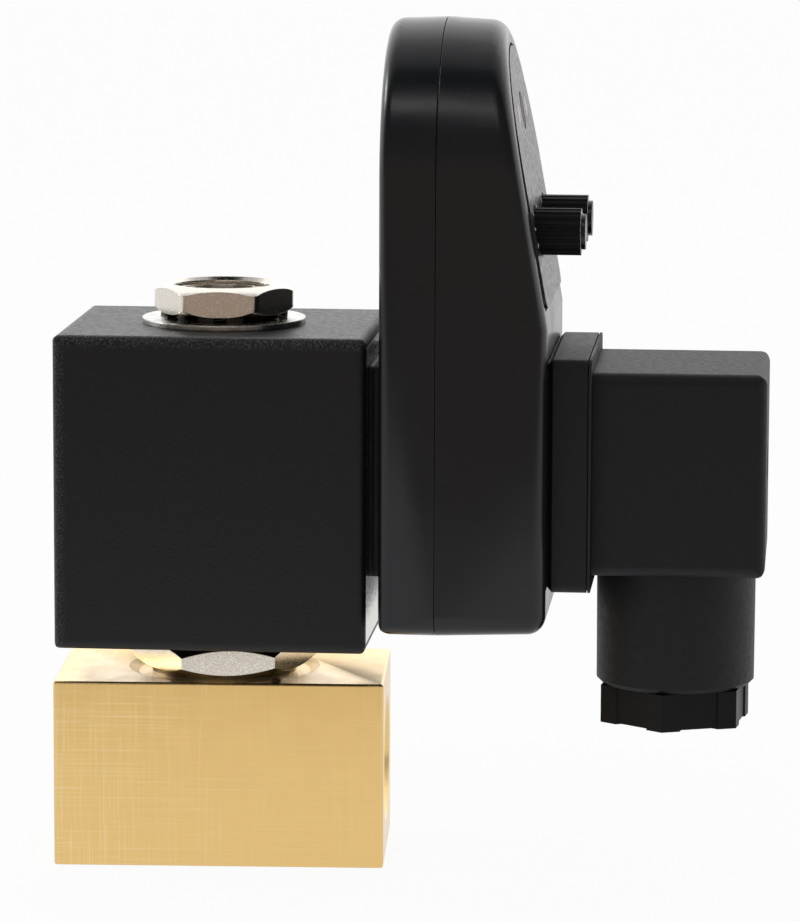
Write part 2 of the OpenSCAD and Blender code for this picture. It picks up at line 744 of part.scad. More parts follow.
module timer_front_shell() color("#1f2021") on_coil() difference() {
    union() {
        difference() {
            front_form();
            intersection() {
                slab_x(parting_x - 1, timer_t) timer_outline(shell_wall);
                behind_face(shell_wall);
            }
        }
        for_bosses() intersection() {
            rod_x(board_front_x, timer_t, boss_d);
            behind_face(shell_wall / 2);
        }
        collar();
    }
    for_bosses() rod_x(board_front_x - 1, boss_bore_depth + 1, boss_bore_d);
    on_face() slab_x(-plate_recess, 5) plate_outline(0);
    for_knobs() rod_x(parting_x, timer_t, knob_d + 2 * free_gap);
    on_face() translate([0, 0, control_row]) {
        rod_x(-6, 8, button_d + 2 * free_gap);
        for (side = [-1, 1]) translate([0, side * lens_pitch / 2, 0])
            rod_x(-6, 8, lens_d + 2 * seat_gap);
    }
    contact_blades(timer_front_x - 5, 20, slip);
    translate([0, 0, connector_z]) rod_x(timer_front_x - 5, 20, screw_hole_d);
}

module circuit_board() color("#3f6b46") on_coil() difference() {
    slab_x(board_x, board_t) timer_outline(shell_wall + board_margin);
    for_bosses() rod_x(board_x - 1, 4, boss_bore_d);
    translate([0, 0, connector_z]) rod_x(board_x - 1, 4, screw_hole_d);
}

// Relay, supply capacitor and two electrolytic capacitors
module board_components() color("#3c4b66") on_coil() {
    x = board_front_x;
    translate([x, -6.5 - relay.y, timer_foot + 11]) cube(relay);
    translate([x, 6.5, timer_foot + 12]) cube(supply_capacitor);
    for (side = [-1, 1]) translate([0, side * 12.4, timer_foot + 38.5])
        rod_x(x, electrolytic_h, electrolytic_d);
}

module potentiometers() color("#355f8f") on_coil() for_knobs() difference() {
    translate([board_front_x, -pot_side / 2, -pot_side / 2]) cube([pot_t, pot_side, pot_side]);
    rod_x(board_front_x + pot_floor_t, pot_t, knob_shaft_d + 2 * slip);
}

// Push switch on the board, its cap just clear of the test button
module button_switch() color("#4a4b4d") on_coil()
    translate([board_front_x, 0, face_z + control_row * cos(face_angle)]) {
        translate([0, -switch_side / 2, -switch_side / 2]) cube([switch_t, switch_side, switch_side]);
        rod_x(0, switch_t + switch_cap_t, switch_cap_d);
    }

module timer_contacts() color("#c8c8c4") on_coil()
    contact_blades(timer_front_x - 4, collar_l + 4 + contact_reach);

// How far the plate's wedge stands proud of the sloped front at a height up the front
function plate_front(z) =
    plate_foot_proud - (plate_foot_proud - plate_top_proud) * (z - plate_foot) / (plate_top - plate_foot);

module face_plate() color("#2b2c2e") on_coil() difference() {
    on_face() intersection() {
        slab_x(-plate_recess, plate_recess + 1) plate_outline(plate_gap);
        translate([0, timer_w, 0]) rotate([90, 0, 0]) linear_extrude(2 * timer_w)
            polygon([[-plate_recess - 1, 0], [plate_front(0), 0],
                     [plate_front(plate_top), plate_top], [-plate_recess - 1, plate_top]]);
    }
    for_knobs() rod_x(parting_x, 2 * timer_t, knob_d + 2 * free_gap);
    on_face() translate([0, 0, control_row]) {
        rod_x(-3, 6, button_d + 2 * free_gap);
        for (side = [-1, 1]) translate([0, side * lens_pitch / 2, 0])
            rod_x(-3, 6, lens_d + 2 * seat_gap);
    }
}

module indicator_lenses() color("#b8402f") on_coil() on_face()
    for (side = [-1, 1]) translate([0, side * lens_pitch / 2, control_row]) {
        rod_x(-shell_wall - 1, shell_wall + 1 + plate_front(control_row), lens_d);
        rod_x(-shell_wall - 1.6, 0.9, lens_d + 1);
    }

module test_button() color("#3a3c3f") on_coil() on_face() translate([0, 0, control_row]) {
    rod_x(-button_inner, button_inner + plate_front(control_row), button_d);
    rod_x(-button_inner, button_flange_h, button_flange_d);
}

// A knob with its shaft; the grip is fluted from the face to a plain stepped end
module knob() {
    root = knob_root_x;
    grip_l = knob_tip_x - knob_step_h - root;
    difference() {
        rod_x(root, grip_l, knob_d);
        for (i = [0 : knob_flutes - 1]) rotate([360 * i / knob_flutes, 0, 0])
            translate([0, 0, knob_d / 2 + flute_d / 2 - flute_depth]) rod_x(root - 1, grip_l + 2, flute_d);
    }
    rod_x(root + grip_l - eps, knob_step_h + eps, knob_step_d);
    shaft_x = board_front_x + pot_floor_t + shaft_end_gap;
    rod_x(shaft_x, root - shaft_x + eps, knob_shaft_d);
}

module interval_knob() color("#1c1c1d") on_coil()
    translate([0, -knob_pitch / 2, knob_z]) knob();

module drain_knob() color("#1c1c1d") on_coil()
    translate([0, knob_pitch / 2, knob_z]) knob();

module case_screws() color("#bdbab4") on_coil() for_bosses() difference() {
    union() {
        rod_x(case_screw_x, case_screw_head_h, case_screw_head_d);
        rod_x(case_screw_x, case_screw_l + case_screw_head_h, case_screw_d);
    }
    for (a = [0, 90]) rotate([a, 0, 0])
        translate([case_screw_x - eps, -cross_l / 2, -cross_w / 2]) cube([cross_depth, cross_l, cross_w]);
}

// ---- Plug and cable gland ----

module plug_gasket() color("#161617") on_coil() difference() {
    union() {
        connector_slab(collar_end_x, plug_gasket_neck_t + eps, collar_side - 1, base_corner_r);
        connector_slab(collar_end_x + plug_gasket_neck_t, plug_gasket_lip_t, collar_side, base_corner_r);
    }
    connector_slab(collar_end_x - 1, 4, plug_side - 2 * plug_wall, 0.5);
}

// The plug's square body, its edges rounded all round but for the open inner end
module plug_form() {
    r = plug_edge_r;
    module outline() {
        translate([0, -plug_half]) square([plug_l - r, plug_side]);
        translate([0, r - plug_half]) square([plug_l, plug_side - 2 * r]);
        for (side = [-1, 1]) translate([plug_l - r, side * (plug_half - r)]) circle(r);
    }
    intersection() {
        connector_slab(plug_x, plug_l, plug_side, r);
        translate([plug_x, plug_half, connector_z]) rotate([90, 0, 0]) linear_extrude(plug_side) outline();
        translate([plug_x, 0, gland_top_z]) linear_extrude(plug_side) outline();
    }
}

module plug_housing() color("#232425") on_coil() difference() {
    union() {
        plug_form();
        translate([gland_axis_x, 0, 0]) {
            translate([0, 0, gland_end_z + gland_chamfer])
                cylinder(h = gland_l - gland_chamfer + plug_edge_r, d1 = gland_d - gland_taper, d2 = gland_d);
            translate([0, 0, gland_end_z])
                cylinder(h = gland_chamfer + eps, d1 = gland_d - gland_taper - 2 * gland_chamfer,
                         d2 = gland_d - gland_taper);
        }
    }
    difference() {
        connector_slab(plug_x - 1, plug_l + 1 - plug_wall, plug_side - 2 * plug_wall, 0.8);
        translate([0, 0, connector_z]) rod_x(plug_x + block_l + 0.2, plug_l, screw_head_d + 3);
    }
    translate([gland_axis_x, 0, gland_end_z - eps]) {
        cylinder(h = gland_bore_l, d = gland_bore_d);
        cylinder(h = gland_l + plug_wall + 1, d = cable_way_d);
    }
    translate([0, 0, connector_z]) {
        rod_x(plug_x, plug_l + 1, screw_hole_d);
        rod_x(plug_end_x - screw_head_h - screw_head_sink, plug_l, screw_head_d + 2 * seat_gap);
    }
}

module terminal_block() color("#2a2b2c") on_coil() difference() {
    connector_slab(plug_x, block_l, plug_side - 2 * plug_wall - 2 * seat_gap, 0.7);
    contact_blades(plug_x - 1, contact_reach + 1, seat_gap);
    translate([0, 0, connector_z]) rod_x(plug_x - 1, plug_l, screw_hole_d);
    for_terminals() rod_x(plug_x + block_l - terminal_depth, block_l, terminal_bore_d);
}

module for_terminals()
    for (side = [-1, 1])
        translate([0, side * (contact_pitch / 2 - terminal_inset), connector_z - terminal_drop]) children();

module terminal_screws() color("#bdbab4") on_coil() for_terminals()
    rod_x(plug_x + block_l - terminal_depth, terminal_depth - 0.2, terminal_bore_d - 2 * seat_gap);

// One long screw holds plug and timer to the coil's connector base
module mounting_screw() color("#c9c6c0") on_coil() translate([0, 0, connector_z]) difference() {
    union() {
        rod_x(plug_end_x - screw_head_h - screw_head_sink, screw_head_h, screw_head_d);
        rod_x(screw_tip_x, plug_end_x - screw_head_h - screw_tip_x, screw_d);
    }
    translate([plug_end_x - screw_head_sink - screw_slot_depth, -screw_head_d, -screw_slot_w / 2])
        cube([2, 2 * screw_head_d, screw_slot_w]);
}

module gland_seal() color("#161617") on_coil() translate([gland_axis_x, 0, 0]) difference() {
    z = gland_end_z + gland_spigot_l + gland_washer_t;
    translate([0, 0, z])
        cylinder(h = gland_end_z + gland_bore_l - z - eps, d = gland_bore_d - 2 * seat_gap);
    translate([0, 0, z - 1]) cylinder(h = gland_l, d = gland_seal_bore_d);
}

module gland_washer() color("#cfccc6") on_coil() translate([gland_axis_x, 0, gland_end_z + gland_spigot_l])
    difference() {
        cylinder(h = gland_washer_t, d = gland_bore_d - 4 * seat_gap);
        translate([0, 0, -1]) cylinder(h = 3, d = cable_bore_d + 4 * seat_gap);
    }

// Hexagonal head with a raised pad at each corner, and a spigot up into the neck
module gland_nut() color("#1c1c1d") on_coil() translate([gland_axis_x, 0, 0]) difference() {
    union() {
        translate([0, 0, gland_nut_z + 0.15]) rotate([0, 0, gland_nut_twist])
            cylinder(h = gland_nut_h - 0.15, r = gland_nut_r - gland_pad_step / cos(30), $fn = 6);
        translate([0, 0, gland_nut_z]) rotate([0, 0, gland_nut_twist]) intersection() {
            cylinder(h = gland_nut_h, r = gland_nut_r, $fn = 6);
            union() for (a = [0 : 60 : 300]) rotate([0, 0, a])
                translate([gland_nut_r - 3.2, -gland_pad_w / 2, 0]) cube([4, gland_pad_w, gland_nut_h]);
        }
        translate([0, 0, gland_nut_z + gland_nut_h - eps])
            cylinder(h = gland_spigot_l + seat_gap + eps, d = gland_bore_d - 2 * seat_gap);
    }
    translate([0, 0, gland_nut_z - 1]) cylinder(h = gland_l, d = cable_bore_d);
    translate([0, 0, gland_nut_z - eps]) cylinder(h = 1, d1 = cable_bore_d + 2, d2 = cable_bore_d);
}

valve_body();
bonnet_o_ring();
core_tube();
fixed_core();
shading_ring();
plunger();
plunger_seal();
plunger_spring();
coil_housing();
magnet_yoke();
coil_bobbin();
copper_winding();
coil_contacts();
coil_o_ring();
flat_washer();
lock_washer();
coil_nut();
base_gasket();
timer_rear_shell();
timer_front_shell();
timer_socket();
circuit_board();
board_components();
potentiometers();
button_switch();
timer_contacts();
face_plate();
indicator_lenses();
test_button();
interval_knob();
drain_knob();
case_screws();
plug_gasket();
plug_housing();
terminal_block();
terminal_screws();
mounting_screw();
gland_seal();
gland_washer();
gland_nut();
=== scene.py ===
import json
import math

import bmesh
import bpy
from mathutils import Matrix, Vector

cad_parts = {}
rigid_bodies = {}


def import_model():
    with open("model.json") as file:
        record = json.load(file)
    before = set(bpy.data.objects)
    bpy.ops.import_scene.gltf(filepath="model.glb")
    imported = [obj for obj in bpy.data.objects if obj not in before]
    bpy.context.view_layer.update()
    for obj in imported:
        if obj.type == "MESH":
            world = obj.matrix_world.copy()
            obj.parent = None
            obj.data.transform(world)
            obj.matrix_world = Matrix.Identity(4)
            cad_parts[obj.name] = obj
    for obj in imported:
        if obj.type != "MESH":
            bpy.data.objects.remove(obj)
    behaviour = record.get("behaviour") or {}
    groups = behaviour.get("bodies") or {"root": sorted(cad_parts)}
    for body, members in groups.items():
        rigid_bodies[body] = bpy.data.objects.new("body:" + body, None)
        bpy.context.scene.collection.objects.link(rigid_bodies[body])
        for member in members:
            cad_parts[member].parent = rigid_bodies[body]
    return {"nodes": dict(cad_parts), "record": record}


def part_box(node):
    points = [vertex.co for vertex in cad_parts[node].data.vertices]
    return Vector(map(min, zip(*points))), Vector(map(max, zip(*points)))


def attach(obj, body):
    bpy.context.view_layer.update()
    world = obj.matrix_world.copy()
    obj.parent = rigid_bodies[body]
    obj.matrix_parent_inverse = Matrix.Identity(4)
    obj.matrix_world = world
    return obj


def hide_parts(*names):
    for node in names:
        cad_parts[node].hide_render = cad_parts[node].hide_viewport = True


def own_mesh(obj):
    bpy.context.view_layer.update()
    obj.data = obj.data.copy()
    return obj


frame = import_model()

bl_info = {
    "name": "Timed Drain Valve",
    "version": (1, 0, 0),
    "blender": (4, 5, 0),
    "location": "View3D > Sidebar > Drain Valve",
    "description": "Gives a timer-controlled drain valve its finishes, threads and fine pieces",
    "category": "Object",
}

MM = 0.001
COIL_BODY = "coil_unit"
VALVE_BODY = "valve"

COLLAR_LENGTH = 5.3 * MM
KNOB_RADIUS = 3.175 * MM
CAP_LENGTH = 0.62 * MM
INK_THICKNESS = 0.03 * MM
DIAL_MARKS = 11
# Cosines past which a face looks along a knob's axis, and upwards as the body's dished seat does.
CAP_FACING = 0.9
DISH_FACING = 0.3

LATHE_STEPS = 96
THREAD_STEPS = 48
# A thread's groove reaches this far into the bore's own space, and its mouth takes this much of the pitch.
GROOVE_OVERLAP = 0.1 * MM
GROOVE_SHARE = 0.86

# The nut's crowned form as (radius, height) points, for a nut that is CROWN_RADIUS to its corners
# and CROWN_HEIGHT high, in millimetres.
CROWN = ((0, 0), (8.0, 0), (8.6, 0.2), (9.1, 0.5), (9.5, 0.86), (9.9, 1.4), (9.9, 2.6), (9.5, 3.1),
         (9.0, 3.45), (8.6, 3.64), (8.2, 3.8), (7.2, 4.1), (0, 4.1))
CROWN_RADIUS = 9.9
CROWN_HEIGHT = 4.1
CROWN_CLEARANCE = 0.1 * MM
NUT_EDGE_ROUND = 1.0 * MM
NUT_COUNTERSINK = 0.7 * MM

WASHER_TEETH = 12
# A tooth is twisted at its points in this outer band and this near its direction (a cosine),
# and keeps this share of its thickness there.
TOOTH_BAND = 0.2 * MM
TOOTH_FACING = 0.9
TOOTH_THICKNESS = 0.5

FLOOR_SIZE = 6
FLOOR_FRONT = 0.18
FLOOR_WHITE = 0.94
LAMP_DISTANCE = 0.9
FRONT_LAMP = {"direction": (-0.12, -0.56, 0.82), "size": (0.7, 0.12)}
LEFT_LAMP = {"direction": (-0.80, 0.30, 0.50), "size": (0.14, 0.14)}
# What polished surfaces reflect, from behind the valve (0) over its top (0.5) to the camera's side (1):
# a white wall, a ceiling that greys until it ends overhead, a dim strip past it and a warmer room in front.
SKY_GREYS = ((0.0, 0.95), (0.27, 0.92), (0.318, 0.71), (0.366, 0.5), (0.4, 0.45), (0.46, 0.38), (0.5, 0.34),
             (0.515, 0.0), (0.6, 0.0), (0.625, 0.1), (0.72, 0.1))
SKY_ARCH = [(place, (grey, grey, grey, 1)) for place, grey in SKY_GREYS]
SKY_ARCH += [(0.86, (0.13, 0.12, 0.11, 1)), (1.0, (0.30, 0.24, 0.20, 1))]

# The sockets of a Mix node that mixes colours.
MIX_FACTOR, MIX_A, MIX_B, MIX_RESULT = 0, 6, 7, 2


def linear(hex_colour):
    """Linear RGBA of an sRGB hex colour."""
    channels = [int(hex_colour[i:i + 2], 16) / 255 for i in (1, 3, 5)]
    return tuple(c / 12.92 if c <= 0.04045 else ((c + 0.055) / 1.055) ** 2.4 for c in channels) + (1.0,)


# ---- Settings ----

class DrainValveColours(bpy.types.PropertyGroup):
    """Colours of the finishes."""

    def colour(name, description, hex_colour):
        return bpy.props.FloatVectorProperty(name=name, description=description, subtype="COLOR", size=4,
                                             min=0, max=1, default=linear(hex_colour))

    brass: colour("Brass", "Milled brass of the valve body", "#E6C27F")
    nickel: colour("Nickel", "Bright nickel plate on the nut, washers and bonnet", "#D6CFC4")
    coil: colour("Coil resin", "Glass-filled resin moulded round the coil", "#111215")
    case: colour("Case plastic", "Satin plastic of the timer and plug", "#101216")
    knob: colour("Knob plastic", "Plastic of the knobs, button and gland nut", "#0C0D0E")
    lens: colour("Lens", "Red moulded lenses of the two indicators", "#8E1E14")
    marks: colour("Dial marks", "Printed marks round the knobs", "#D8D8D4")
    floor: colour("Floor", "Floor under the valve", "#F4F4F4")


class DrainValveSizes(bpy.types.PropertyGroup):
    """Sizes of the pieces that are modelled here."""

    def length(name, description, millimetres):
        return bpy.props.FloatProperty(name=name, description=description, unit="LENGTH", min=0,
                                       precision=5, default=millimetres * MM)

    port_pitch: length("Port thread pitch", "Pitch of the 19 per inch pipe thread", 1.337)
    port_thread: length("Port thread depth", "Depth of the thread's groove in the port's wall", 0.6)
    nut_pitch: length("Nut thread pitch", "Pitch of the thread in the coil nut", 1.0)
    nut_thread: length("Nut thread depth", "Depth of the thread's groove in the coil nut", 0.55)
    pointer_width: length("Pointer width", "Width of the slot in a knob's end", 0.6)
    pointer_depth: length("Pointer depth", "Depth of the slot in a knob's end", 0.35)
    mark_gap: length("Mark gap", "Gap between a knob and the marks round it", 1.0)
    mark_length: length("Mark length", "Length of a dial mark", 1.3)
    mark_width: length("Mark width", "Width of a dial mark", 0.3)
    tooth_twist: bpy.props.FloatProperty(name="Tooth twist", description="Twist of the lock washer's teeth",
                                         subtype="ANGLE", default=math.radians(16))


class DrainValveStage(bpy.types.PropertyGroup):
    """Camera and lamps."""

    lens: bpy.props.FloatProperty(name="Lens", description="Focal length on a 36 mm sensor", unit="CAMERA",
                                  default=188.71)
    camera_place: bpy.props.FloatVectorProperty(name="Camera", description="Place of the camera",
                                                subtype="TRANSLATION", unit="LENGTH",
                                                default=(0.04734, -0.65437, 0.15462))
    camera_down: bpy.props.FloatProperty(name="Down", description="How far the camera looks down",
                                         subtype="ANGLE", default=math.radians(8.713))
    camera_turn: bpy.props.FloatProperty(name="Turn", description="How far the camera is turned to its left",
                                         subtype="ANGLE", default=math.radians(2.031))
    camera_roll: bpy.props.FloatProperty(name="Roll", description="How far the camera is rolled",
                                         subtype="ANGLE", default=math.radians(0.198))
    sky: bpy.props.FloatProperty(name="Sky", description="Strength of the even light from all round",
                                 default=0.55)
    mirror: bpy.props.FloatProperty(name="Mirror", description="Strength of what polished surfaces reflect",
                                    default=1.6)
    front: bpy.props.FloatProperty(name="Front lamp", description="Power of the long lamp above the camera",
                                   unit="POWER", default=0.75)
    left: bpy.props.FloatProperty(name="Left lamp", description="Power of the small lamp behind on the left",
                                  unit="POWER", default=1.6)


class DrainValveSettings(bpy.types.PropertyGroup):
    """All settings of the drain valve."""

    colours: bpy.props.PointerProperty(type=DrainValveColours, name="Colours",
                                       description="Colours of the finishes")
    sizes: bpy.props.PointerProperty(type=DrainValveSizes, name="Sizes",
                                     description="Sizes of the added pieces")
    stage: bpy.props.PointerProperty(type=DrainValveStage, name="Stage", description="Camera and lamps")


# ---- Places ----

def joint(name):
    """A joint of the record."""
    return next(j for j in frame["record"]["behaviour"]["joints"] if j["name"] == name)


KNOB_AXIS = joint("interval_knob_turn")["axis"]
COIL_TURN = math.atan2(KNOB_AXIS[1], KNOB_AXIS[0])


def coil_block():
    """Middle and half size of the coil's block, square to its own sides.

    They are taken on the sides away from the timer, where no connector base stands out.
    """
    to_block = Matrix.Rotation(-COIL_TURN, 3, "Z")
    points = [to_block @ vertex.co for vertex in frame["nodes"]["coil_housing"].data.vertices]
    low, high = min(p.z for p in points), max(p.z for p in points)
    half = Vector((-min(p.x for p in points), max(p.y for p in points), (high - low) / 2))
    return Vector((0, 0, (high + low) / 2)), half


# ---- Finishes ----

def add_node(tree, kind, values=None, links=None, **settings):
    """Adds a shader node with its settings, its sockets' values and its links from other sockets."""
    made = tree.nodes.new(kind)
    for name, value in settings.items():
        setattr(made, name, value)
    for socket, value in (values or {}).items():
        made.inputs[socket].default_value = value
    for socket, source in (links or {}).items():
        tree.links.new(source, made.inputs[socket])
    return made


def shade(colour, factor):
    """A colour made lighter or darker."""
    return tuple(min(1.0, c * factor) for c in colour[:3]) + (1.0,)


def surface(name, colour, roughness, grain, depth, edge, stretch=(1, 1, 1), patch=8 * MM, spread=0.12,
            tone=0.06, **sockets):
    """A material whose fine grain, rounded edges and patches follow real sizes in metres.

    grain is the size of the fine texture and stretch draws it out along the axes, depth is its height,
    edge is the radius that shading gives to sharp edges, patch is the size of the broad changes in
    roughness (by spread) and in colour (by tone).
    """
    material = bpy.data.materials.new(name)
    material.use_nodes = True
    tree = material.node_tree
    tree.nodes.clear()
    shader = add_node(tree, "ShaderNodeBsdfPrincipled",
                      {"Base Color": colour, "Roughness": roughness, **sockets})
    add_node(tree, "ShaderNodeOutputMaterial", links={"Surface": shader.outputs["BSDF"]})
    place = add_node(tree, "ShaderNodeTexCoord").outputs["Object"]
    drawn = add_node(tree, "ShaderNodeMapping", {"Scale": [1 / (grain * s) for s in stretch]},
                     {"Vector": place})
    fine = add_node(tree, "ShaderNodeTexNoise", {"Scale": 1.0, "Detail": 3.0},
                    {"Vector": drawn.outputs["Vector"]}, label="grain")
    broad = add_node(tree, "ShaderNodeTexNoise", {"Scale": 1 / patch, "Detail": 2.0}, {"Vector": place},
                     label="patches")
    rub = add_node(tree, "ShaderNodeMapRange",
                   {"From Min": 0.35, "From Max": 0.65, "To Min": roughness * (1 - spread),
                    "To Max": roughness * (1 + spread)}, {"Value": broad.outputs["Fac"]})
    tree.links.new(rub.outputs["Result"], shader.inputs["Roughness"])
    tint = add_node(tree, "ShaderNodeMix", {MIX_A: shade(colour, 1 - tone), MIX_B: shade(colour, 1 + tone)},
                    {MIX_FACTOR: broad.outputs["Fac"]}, data_type="RGBA", label="tint")
    tree.links.new(tint.outputs[MIX_RESULT], shader.inputs["Base Color"])
    rounded = add_node(tree, "ShaderNodeBevel", {"Radius": edge}, samples=6)
    bump = add_node(tree, "ShaderNodeBump", {"Distance": depth, "Strength": 1.0},
                    {"Height": fine.outputs["Fac"], "Normal": rounded.outputs["Normal"]})
    tree.links.new(bump.outputs["Normal"], shader.inputs["Normal"])
    return material


def overlay(material, mask, colour):
    """Lays a colour over a finish where the mask is one."""
    tree = material.node_tree
    socket = tree.nodes["Principled BSDF"].inputs["Base Color"]
    under = socket.links[0].from_socket
    laid = add_node(tree, "ShaderNodeMix", {MIX_B: colour}, {MIX_FACTOR: mask, MIX_A: under},
                    data_type="RGBA")
    tree.links.new(laid.outputs[MIX_RESULT], socket)


def milled_brass(colours):
    # Free-machining brass, face-milled and rubbed down: a warm satin yellow under fine crossed hairlines,
    # drawn a little coarser than real and painted denser and paler towards the block's left, as a painted
    # broad reflection there.
    material = surface("milled_brass", colours.brass, 0.22, 0.16 * MM, 0.002 * MM, 0.25 * MM, (60, 60, 1),
                       4 * MM, 0.1, 0.03, Metallic=1.0)
    tree = material.node_tree
    place = tree.nodes["Texture Coordinate"].outputs["Object"]
    # Painted reflection: the hairlines grow denser and paler towards the block's left.
    painted_sheen = add_node(tree, "ShaderNodeMapRange",
                      {"From Min": -22 * MM, "From Max": 5 * MM, "To Min": 0.36, "To Max": 0.09},
                      {"Value": add_node(tree, "ShaderNodeSeparateXYZ", links={0: place}).outputs["X"]})
    for hair_size in ((18, 18, 0.15), (0.15, 18, 12)):
        drawn = add_node(tree, "ShaderNodeMapping", {"Scale": [1 / (size * MM) for size in hair_size]},
                         {"Vector": place})
        streaks = add_node(tree, "ShaderNodeTexNoise", {"Scale": 1.0, "Detail": 2.0},
                           {"Vector": drawn.outputs["Vector"]})
        lines = add_node(tree, "ShaderNodeMapRange", {"From Min": 0.54, "From Max": 0.74},
                         {"Value": streaks.outputs["Fac"]})
        hairs = add_node(tree, "ShaderNodeMath",
                         links={0: lines.outputs["Result"], 1: painted_sheen.outputs["Result"]},
                         operation="MULTIPLY")
        overlay(material, hairs.outputs[0], linear("#FBEBC6"))
    return material


def turned_brass(colours):
    # The seat faced off with a single-point tool: paler than the rubbed faces, with fine rings.
    return surface("turned_brass", shade(colours.brass, 1.15), 0.34, 0.12 * MM, 0.004 * MM, 0.1 * MM,
                   spread=0.1, tone=0.03, Metallic=1.0)


def nickel_plate(colours):
    # Bright nickel on turned and hexagon steel: pale and slightly warm, near a mirror, with
    # a faint orange-peel that breaks up what it reflects, and tiny specks of painted glint laid over its
    # colour.
    material = surface("nickel_plate", colours.nickel, 0.13, 0.22 * MM, 0.009 * MM, 0.12 * MM, patch=0.5 * MM,
                       spread=0.3, Metallic=1.0)
    tree = material.node_tree
    # Painted glints: tiny specks painted near white.
    specks = add_node(tree, "ShaderNodeTexNoise", {"Scale": 1 / (0.2 * MM), "Detail": 1.0},
                      {"Vector": tree.nodes["Texture Coordinate"].outputs["Object"]})
    bright = add_node(tree, "ShaderNodeMapRange", {"From Min": 0.57, "From Max": 0.65, "To Max": 0.5},
                      {"Value": specks.outputs["Fac"]})
    overlay(material, bright.outputs["Result"], linear("#FFFDF8"))
    return material


def turned_stainless(colours):
    # Ferritic stainless bar, turned: grey rings round its axis.
    return surface("turned_stainless", linear("#A3A19C"), 0.3, 0.12 * MM, 0.004 * MM, 0.1 * MM, (12, 12, 1),
                   Metallic=1.0)


def zinc_plate(colours):
    # Bright zinc on cold-headed steel screws: pale blue-grey and a little cloudy.
    return surface("zinc_plate", linear("#BEBDB9"), 0.26, 0.15 * MM, 0.003 * MM, 0.3 * MM, patch=1.5 * MM,
                   spread=0.25, Metallic=1.0)


def tempered_steel(colours):
    # Hardened spring steel, left brown-black from the oil quench and bright where it was touched.
    return surface("tempered_steel", linear("#3A3632"), 0.28, 0.3 * MM, 0.01 * MM, 0.05 * MM, patch=MM,
                   spread=0.4, tone=0.5, Metallic=1.0)


def drawn_wire(colours):
    # Drawn stainless spring wire: a bright line along each coil.
    return surface("drawn_wire", linear("#9A9894"), 0.24, 0.1 * MM, 0.002 * MM, 0.05 * MM, Metallic=1.0)


def plated_steel(colours):
    # Stamped magnetic strip, zinc-plated: light grey with rolling lines and a soft, cloudy shine.
    return surface("plated_steel", linear("#DEDCD8"), 0.3, 0.14 * MM, 0.004 * MM, 0.15 * MM, (1, 1, 30),
                   0.6 * MM, 0.15, 0.06, Metallic=1.0)


def enamelled_copper(colours):
    # Layers of enamelled wire, 0.15 mm thick: shown as fine rings up the winding.
    return surface("enamelled_copper", linear("#B5652F"), 0.3, 0.15 * MM, 0.03 * MM, 0.1 * MM, (60, 60, 1),
                   Metallic=1.0)


def bare_copper(colours):
    # Shading ring, punched from copper and pressed in: soft orange.
    return surface("bare_copper", linear("#C07848"), 0.28, 0.1 * MM, 0.002 * MM, 0.05 * MM, Metallic=1.0)


def tinned_blades(colours):
    # Stamped brass blades, tinned: white with faint draw lines.
    return surface("tinned_blades", linear("#C8C8C4"), 0.3, 0.12 * MM, 0.002 * MM, 0.05 * MM, (30, 1, 1),
                   Metallic=1.0)


def fibre_glints(tree, place):
    """Mask of painted glints where the glass fibres show at the surface."""
    fibre_glint_cells = add_node(tree, "ShaderNodeTexVoronoi", {"Scale": 1 / (0.9 * MM)}, {"Vector": place})
    tips = add_node(tree, "ShaderNodeMapRange",
                    {"From Min": 0.05, "From Max": 0.12, "To Min": 0.7, "To Max": 0.0},
                    {"Value": fibre_glint_cells.outputs["Distance"]})
    scattered = add_node(tree, "ShaderNodeMath", {1: 0.72}, {0: fibre_glint_cells.outputs["Color"]},
                         operation="GREATER_THAN")
    glint = add_node(tree, "ShaderNodeMath", links={0: tips.outputs["Result"], 1: scattered.outputs[0]},
                     operation="MULTIPLY")
    return glint.outputs[0]


